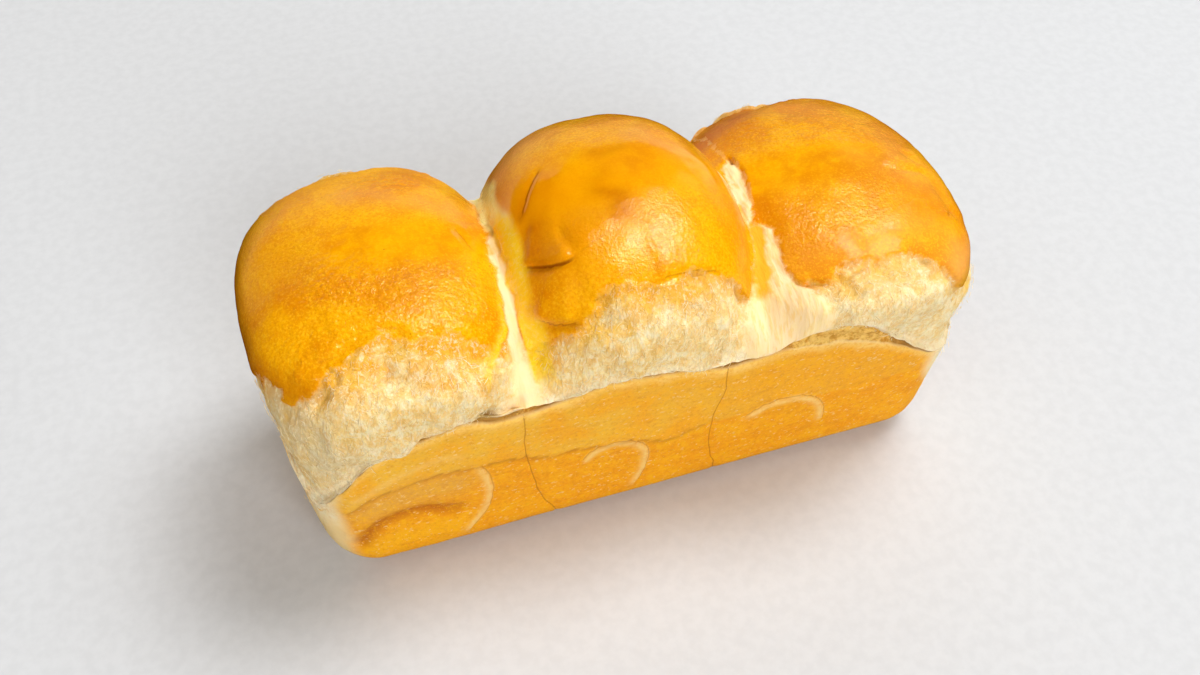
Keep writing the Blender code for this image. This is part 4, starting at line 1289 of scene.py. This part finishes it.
def torn_colour(bread):
    """Torn side: cream with golden stains, toasted near the crust and palest at the lip, finely fibrous.
    Painted shade darkens it in places, mostly at the left end, in the crevices and in the deep holes, and
    painted light brightens it towards the loaf's right part.
    """
    stains = bread.noise(0.0075, 4.0, 0.65, 0.4)
    blotches = bread.noise(0.0036, 4.0, 0.65, 0.3)
    yellowed = bread.math("MULTIPLY_ADD", bread.between("crust", -12.0, -0.5), 0.22, stains)
    toasted = bread.math("MULTIPLY_ADD", bread.between("crust", -6.0, 0.3), 0.42, blotches)
    at_lip = bread.between("over_lip", 0.4, 4.5, 0.85, 0.0)
    fine = bread.noise(0.0010, 4.0, 0.72, 0.8, UPRIGHT)
    return bread.layers(
        TORN_CREAM,
        (TORN_PEACH, bread.between(blotches, 0.42, 0.58)),
        (TORN_LIGHT, bread.between(blotches, 0.36, 0.46, 0.6, 0.0)),
        (TORN_YELLOW, bread.between(yellowed, 0.54, 0.74, 0.0, 0.9)),
        (TORN_GOLD, bread.between(toasted, 0.62, 0.88)),
        # Painted shade where the torn crumb lies in shade, mostly at the left end
        (TORN_PAINTED_SHADE, "shade"),
        # Painted light: the torn crumb is made lighter towards the loaf's right part
        (TORN_LIGHT, bread.times("right", 0.22)),
        (TORN_GOLD, bread.times("gold", bread.between(blotches, 0.25, 0.60, 0.55, 1.0))),
        (TORN_LIP, bread.times(at_lip, bread.between(blotches, 0.30, 0.60, 1.0, 0.6))),
        (TORN_LIGHT, bread.between(fine, 0.50, 0.64, 0.0, 0.55)),
        (TORN_DARK, bread.between(fine, 0.32, 0.46, 0.27, 0.0)),
        # Painted shade in the crevices, in the crumb's yellow and stronger where it is stained
        (TORN_YELLOW, bread.times("crevice", bread.between(stains, 0.35, 0.60, 0.15, 0.65))),
        (TORN_DARK, bread.times(bread.threads(0.0030, 0.016, 0.8, UPRIGHT), 0.26)),
        # Painted shade in the deep holes of the torn side
        (TORN_POCKET_SHADE, bread.times("pocket", 0.8)),
    )


def strand_colour(bread):
    """Smooth cream dough in the valleys, golden in places, with fine streaks along it in the wider one."""
    streaks = bread.between(bread.noise(0.0011, 3.0, 0.6, 0.2, ALONG_STRAND), 0.46, 0.66, 0.0, 0.45)
    golden = bread.math("MULTIPLY_ADD", bread.noise(0.0022, 3.0, 0.6), 0.5, "gold")
    return bread.layers(
        STRAND_CREAM,
        (TORN_YELLOW, bread.times("threads", streaks)),
        (TORN_CREAM, bread.between(bread.noise(0.0050, 3.0), 0.45, 0.65, 0.0, 0.6)),
        (STRAND_GOLD, bread.between(golden, 0.45, 0.95)),
    )


def flank_colour(bread):
    """Flank beside the first valley: yellow, paler towards its top, with fine light and dark streaks."""
    tone = bread.math("MULTIPLY_ADD", "flank_top", 0.7, bread.noise(0.006, 3.0))
    fine = bread.noise(0.0014, 4.0, 0.7, 0.6, (0.5, 1.0, 1.0))
    return bread.layers(
        FLANK_YELLOW,
        (FLANK_TAN, bread.between(tone, 0.60, 1.05)),
        (TORN_LIGHT, bread.between(fine, 0.48, 0.64, 0.0, 0.16)),
        (TORN_GOLD, bread.between(fine, 0.34, 0.46, 0.20, 0.0)),
    )


def gap_colour(bread):
    """Inside of the gap under the lip: darker crumbs with painted shade, yellow crumbs over them in the
    wider gap, and painted shadow in the narrow one.
    """
    crumbs = bread.between(bread.noise(0.0018, 3.0, 0.7), 0.35, 0.60)
    return bread.layers(GAP_SHADED_CRUMB, (GAP_YELLOW, crumbs), (GAP_SHADOW, "narrow_gap"))


def wall_colour(bread):
    """Tin-baked wall: tan above the layer's edge and golden below, with pale flecks, pads and corners,
    painted shade in the hollow, painted shadow under the layer's edge and painted light on the bulge.
    """
    clouds = bread.noise(0.012, 4.0, 0.65)
    upper = bread.mix(bread.between(clouds, 0.38, 0.66, 0.0, 0.7), WALL_TAN, WALL_GOLD)
    lower = bread.mix(bread.between(clouds, 0.40, 0.72, 0.0, 0.6), WALL_GOLD, WALL_BRIGHT)
    golden = bread.math("MAXIMUM", "lower", bread.times("right", 0.6))
    bands = bread.noise(0.0040, 3.0, 0.6, 0.2, (0.30, 0.30, 1.8))
    mottle = bread.noise(0.0030, 4.0, 0.7)
    fine = bread.noise(0.0010, 3.0, 0.7)
    flecks = bread.noise(0.0012, 2.0, 0.6, 0.3, (0.75, 0.75, 1.2))
    seam, roll = bread.line("seam", 0.06, 0.30, 0.60), bread.line("roll", 0.06, 0.32, 0.40)
    return bread.layers(
        bread.mix(golden, upper, lower),
        (WALL_LIGHT, bread.between(bands, 0.50, 0.68, 0.0, 0.24)),
        (WALL_DEEP, bread.between(bands, 0.32, 0.48, 0.22, 0.0)),
        (WALL_VEILED, bread.times("veil", 0.75)),
        # Painted light on the bulge at the foot of the left wall
        (WALL_BRIGHT, bread.times("bulge", 0.9)),
        # Painted shade in the hollow under the rolled end
        (WALL_HOLLOW_SHADE, "hollow"),
        (WALL_LIGHT, bread.between(mottle, 0.50, 0.70, 0.0, 0.45)),
        (WALL_DEEP, bread.between(mottle, 0.32, 0.48, 0.40, 0.0)),
        (WALL_LIGHT, bread.between(fine, 0.52, 0.66, 0.0, 0.5)),
        (WALL_DEEP, bread.between(fine, 0.34, 0.46, 0.4, 0.0)),
        (WALL_PALE, bread.between(flecks, 0.62, 0.68, 0.0, 0.46)),
        (GAP_YELLOW, bread.times("under_tear", bread.between(fine, 0.3, 0.6, 0.4, 1.0))),
        (LINE_PALE, bread.times("pad", bread.between(mottle, 0.30, 0.60, 0.5, 0.9))),
        # Painted shadow under the upper layer's edge
        (LINE_BROWN_AND_SHADOW, bread.times("shadow_under_layer", 0.45)),
        (WALL_PALE, bread.times("corner", 0.92)),
        (LINE_BROWN_AND_SHADOW, bread.math("MAXIMUM", seam, roll)),
    )


def make_bread():
    """The one material of the skin, mixed by the zones kept in its points."""
    bread = Shader("bread")
    crust = bread.times(bread.edge("crust", 0.0024, 4.5, 0.8), "above")
    strand = bread.times(bread.edge("strand", 0.0020, 1.2, 0.45), "above")
    torn = bread.math("SUBTRACT", 1.0, bread.math("MAXIMUM", bread.math("MAXIMUM", crust, strand), "wall"))
    colour = bread.layers(
        torn_colour(bread),
        (strand_colour(bread), strand),
        (crust_colour(bread), crust),
        (flank_colour(bread), "flank"),
        (gap_colour(bread), "gap"),
        (wall_colour(bread), "wall"),
    )
    smoother = bread.between("pebbled", 0.0, 1.0, SMOOTH_CRUST, PEBBLED_CRUST)
    smoother = bread.math("MULTIPLY_ADD", "dull", DULLED_BY, smoother)
    roughness = bread.math("MULTIPLY_ADD", crust, smoother, CRUMB_ROUGHNESS)
    roughness = bread.math("MULTIPLY_ADD", "wall", WALL_SMOOTHER, roughness)
    pebbled = bread.math("MULTIPLY_ADD", "pebbled", 0.96, 0.04)
    threads = bread.threads(0.0022, 0.040, 1.0, UPRIGHT)
    fibres = bread.math("MULTIPLY_ADD", threads, 0.35, bread.noise(0.0011, 4.0, 0.72, 0.8, UPRIGHT))
    normal = None
    for height, strength, distance in (
        (bread.noise(0.00095, 3.0, 0.6), bread.times(crust, pebbled), 0.00022),
        (bread.noise(0.0015, 2.0, 0.5), bread.times(crust, "blistered"), 0.0007),
        (fibres, bread.times(torn, 0.7), 0.0010),
        (bread.noise(0.0011, 3.0, 0.6, 0.2, ALONG_STRAND), bread.times(strand, 0.5), 0.0008),
        (bread.noise(0.0010, 3.0, 0.7), bread.times("wall", 0.5), 0.0005),
    ):
        under = {"Normal": normal} if normal else {}
        bump = bread.add("Bump", {"Height": height, "Strength": strength, "Distance": distance, **under})
        normal = bump.outputs["Normal"]
    bread.dress({"Base Color": colour, "Roughness": roughness, "Normal": normal})
    bread.dress({"Coat Weight": bread.times(crust, COAT), **BREAD_SURFACE})
    return bread.material


def make_crumb():
    """The pale stuff of the fibres, from cream to yellow."""
    crumb = Shader("crumb")
    stains = crumb.noise(0.0035, 3.0, 0.6)
    colour = crumb.layers(
        TORN_LIGHT,
        (TORN_CREAM, crumb.between(stains, 0.38, 0.60)),
        (TORN_YELLOW, crumb.between(stains, 0.56, 0.70)),
    )
    crumb.dress({"Base Color": colour, "Roughness": 0.8, "Specular IOR Level": 0.2})
    return crumb.material


def make_floor():
    """A plain pale surface under the loaf."""
    corners = np.array(((-1.0, -1.0, 0.0), (1.0, -1.0, 0.0), (1.0, 1.0, 0.0), (-1.0, 1.0, 0.0)))
    floor = make_piece("floor", corners * FLOOR_HALF, [(0, 1, 2, 3)])
    paper = Shader("floor")
    colour = paper.mix(paper.between(paper.noise(0.004, 3.0), 0.3, 0.7), *FLOOR_TONES)
    paper.dress({"Base Color": colour, "Roughness": 0.9, "Specular IOR Level": 0.2})
    floor.data.materials.append(paper.material)
    floor.visible_glossy = False
    return floor


def make_lamp(name, place, size, power, colour):
    """An area lamp that faces the loaf and that the camera doesn't see."""
    light = bpy.data.lights.new(name, "AREA")
    light.shape = "DISK" if len(size) == 1 else "RECTANGLE"
    light.size = size[0]
    light.size_y = size[-1]
    light.energy = power
    light.color = colour
    lamp = bpy.data.objects.new(name, light)
    lamp.location = place
    lamp.rotation_euler = (Vector(place) - LAMP_TARGET).to_track_quat("Z", "Y").to_euler()
    lamp.visible_camera = False
    bpy.context.scene.collection.objects.link(lamp)
    return lamp


def make_light():
    """Broad soft light from above and the right, a weaker one from the front, and an even surround."""
    for name, lamp in SOFT_LAMPS.items():
        make_lamp(name, *lamp).visible_glossy = False
    for name, lamp in GLOSSY_LAMPS.items():
        make_lamp(name, *lamp).visible_diffuse = False
    world = bpy.data.worlds.new("surround")
    world.use_nodes = True
    background = world.node_tree.nodes["Background"]
    background.inputs["Color"].default_value = SURROUND_COLOUR
    background.inputs["Strength"].default_value = SURROUND_STRENGTH
    world.cycles_visibility.glossy = False
    bpy.context.scene.world = world


def make_camera():
    """The photo's view of the loaf."""
    flat_ahead = Vector((np.sin(CAMERA_AZIMUTH), np.cos(CAMERA_AZIMUTH), 0.0))
    ahead = flat_ahead * np.cos(CAMERA_PITCH) - Vector((0.0, 0.0, 1.0)) * np.sin(CAMERA_PITCH)
    right = Vector((np.cos(CAMERA_AZIMUTH), -np.sin(CAMERA_AZIMUTH), 0.0))
    up = right.cross(ahead)
    rolled_right = right * np.cos(CAMERA_ROLL) + up * np.sin(CAMERA_ROLL)
    rolled_up = up * np.cos(CAMERA_ROLL) - right * np.sin(CAMERA_ROLL)
    lens = bpy.data.cameras.new("camera")
    lens.sensor_width = SENSOR_WIDTH
    lens.lens = CAMERA_LENS
    lens.clip_start = CLIP_START
    camera = bpy.data.objects.new("camera", lens)
    turn = Matrix((rolled_right, rolled_up, -ahead)).transposed().to_4x4()
    camera.matrix_world = Matrix.Translation(CAMERA_TARGET - ahead * CAMERA_DISTANCE) @ turn
    bpy.context.scene.collection.objects.link(camera)
    bpy.context.scene.camera = camera


skin, torn_points, torn_normals = make_skin()
skin.data.materials.append(make_bread())
fibres = make_fibres(torn_points, torn_normals)
fibres.data.materials.append(make_crumb())
for piece in (skin, fibres):
    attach(piece, "root")
    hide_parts("loaf")
make_floor()
make_light()
make_camera()
bpy.context.scene.view_settings.view_transform = "Standard"
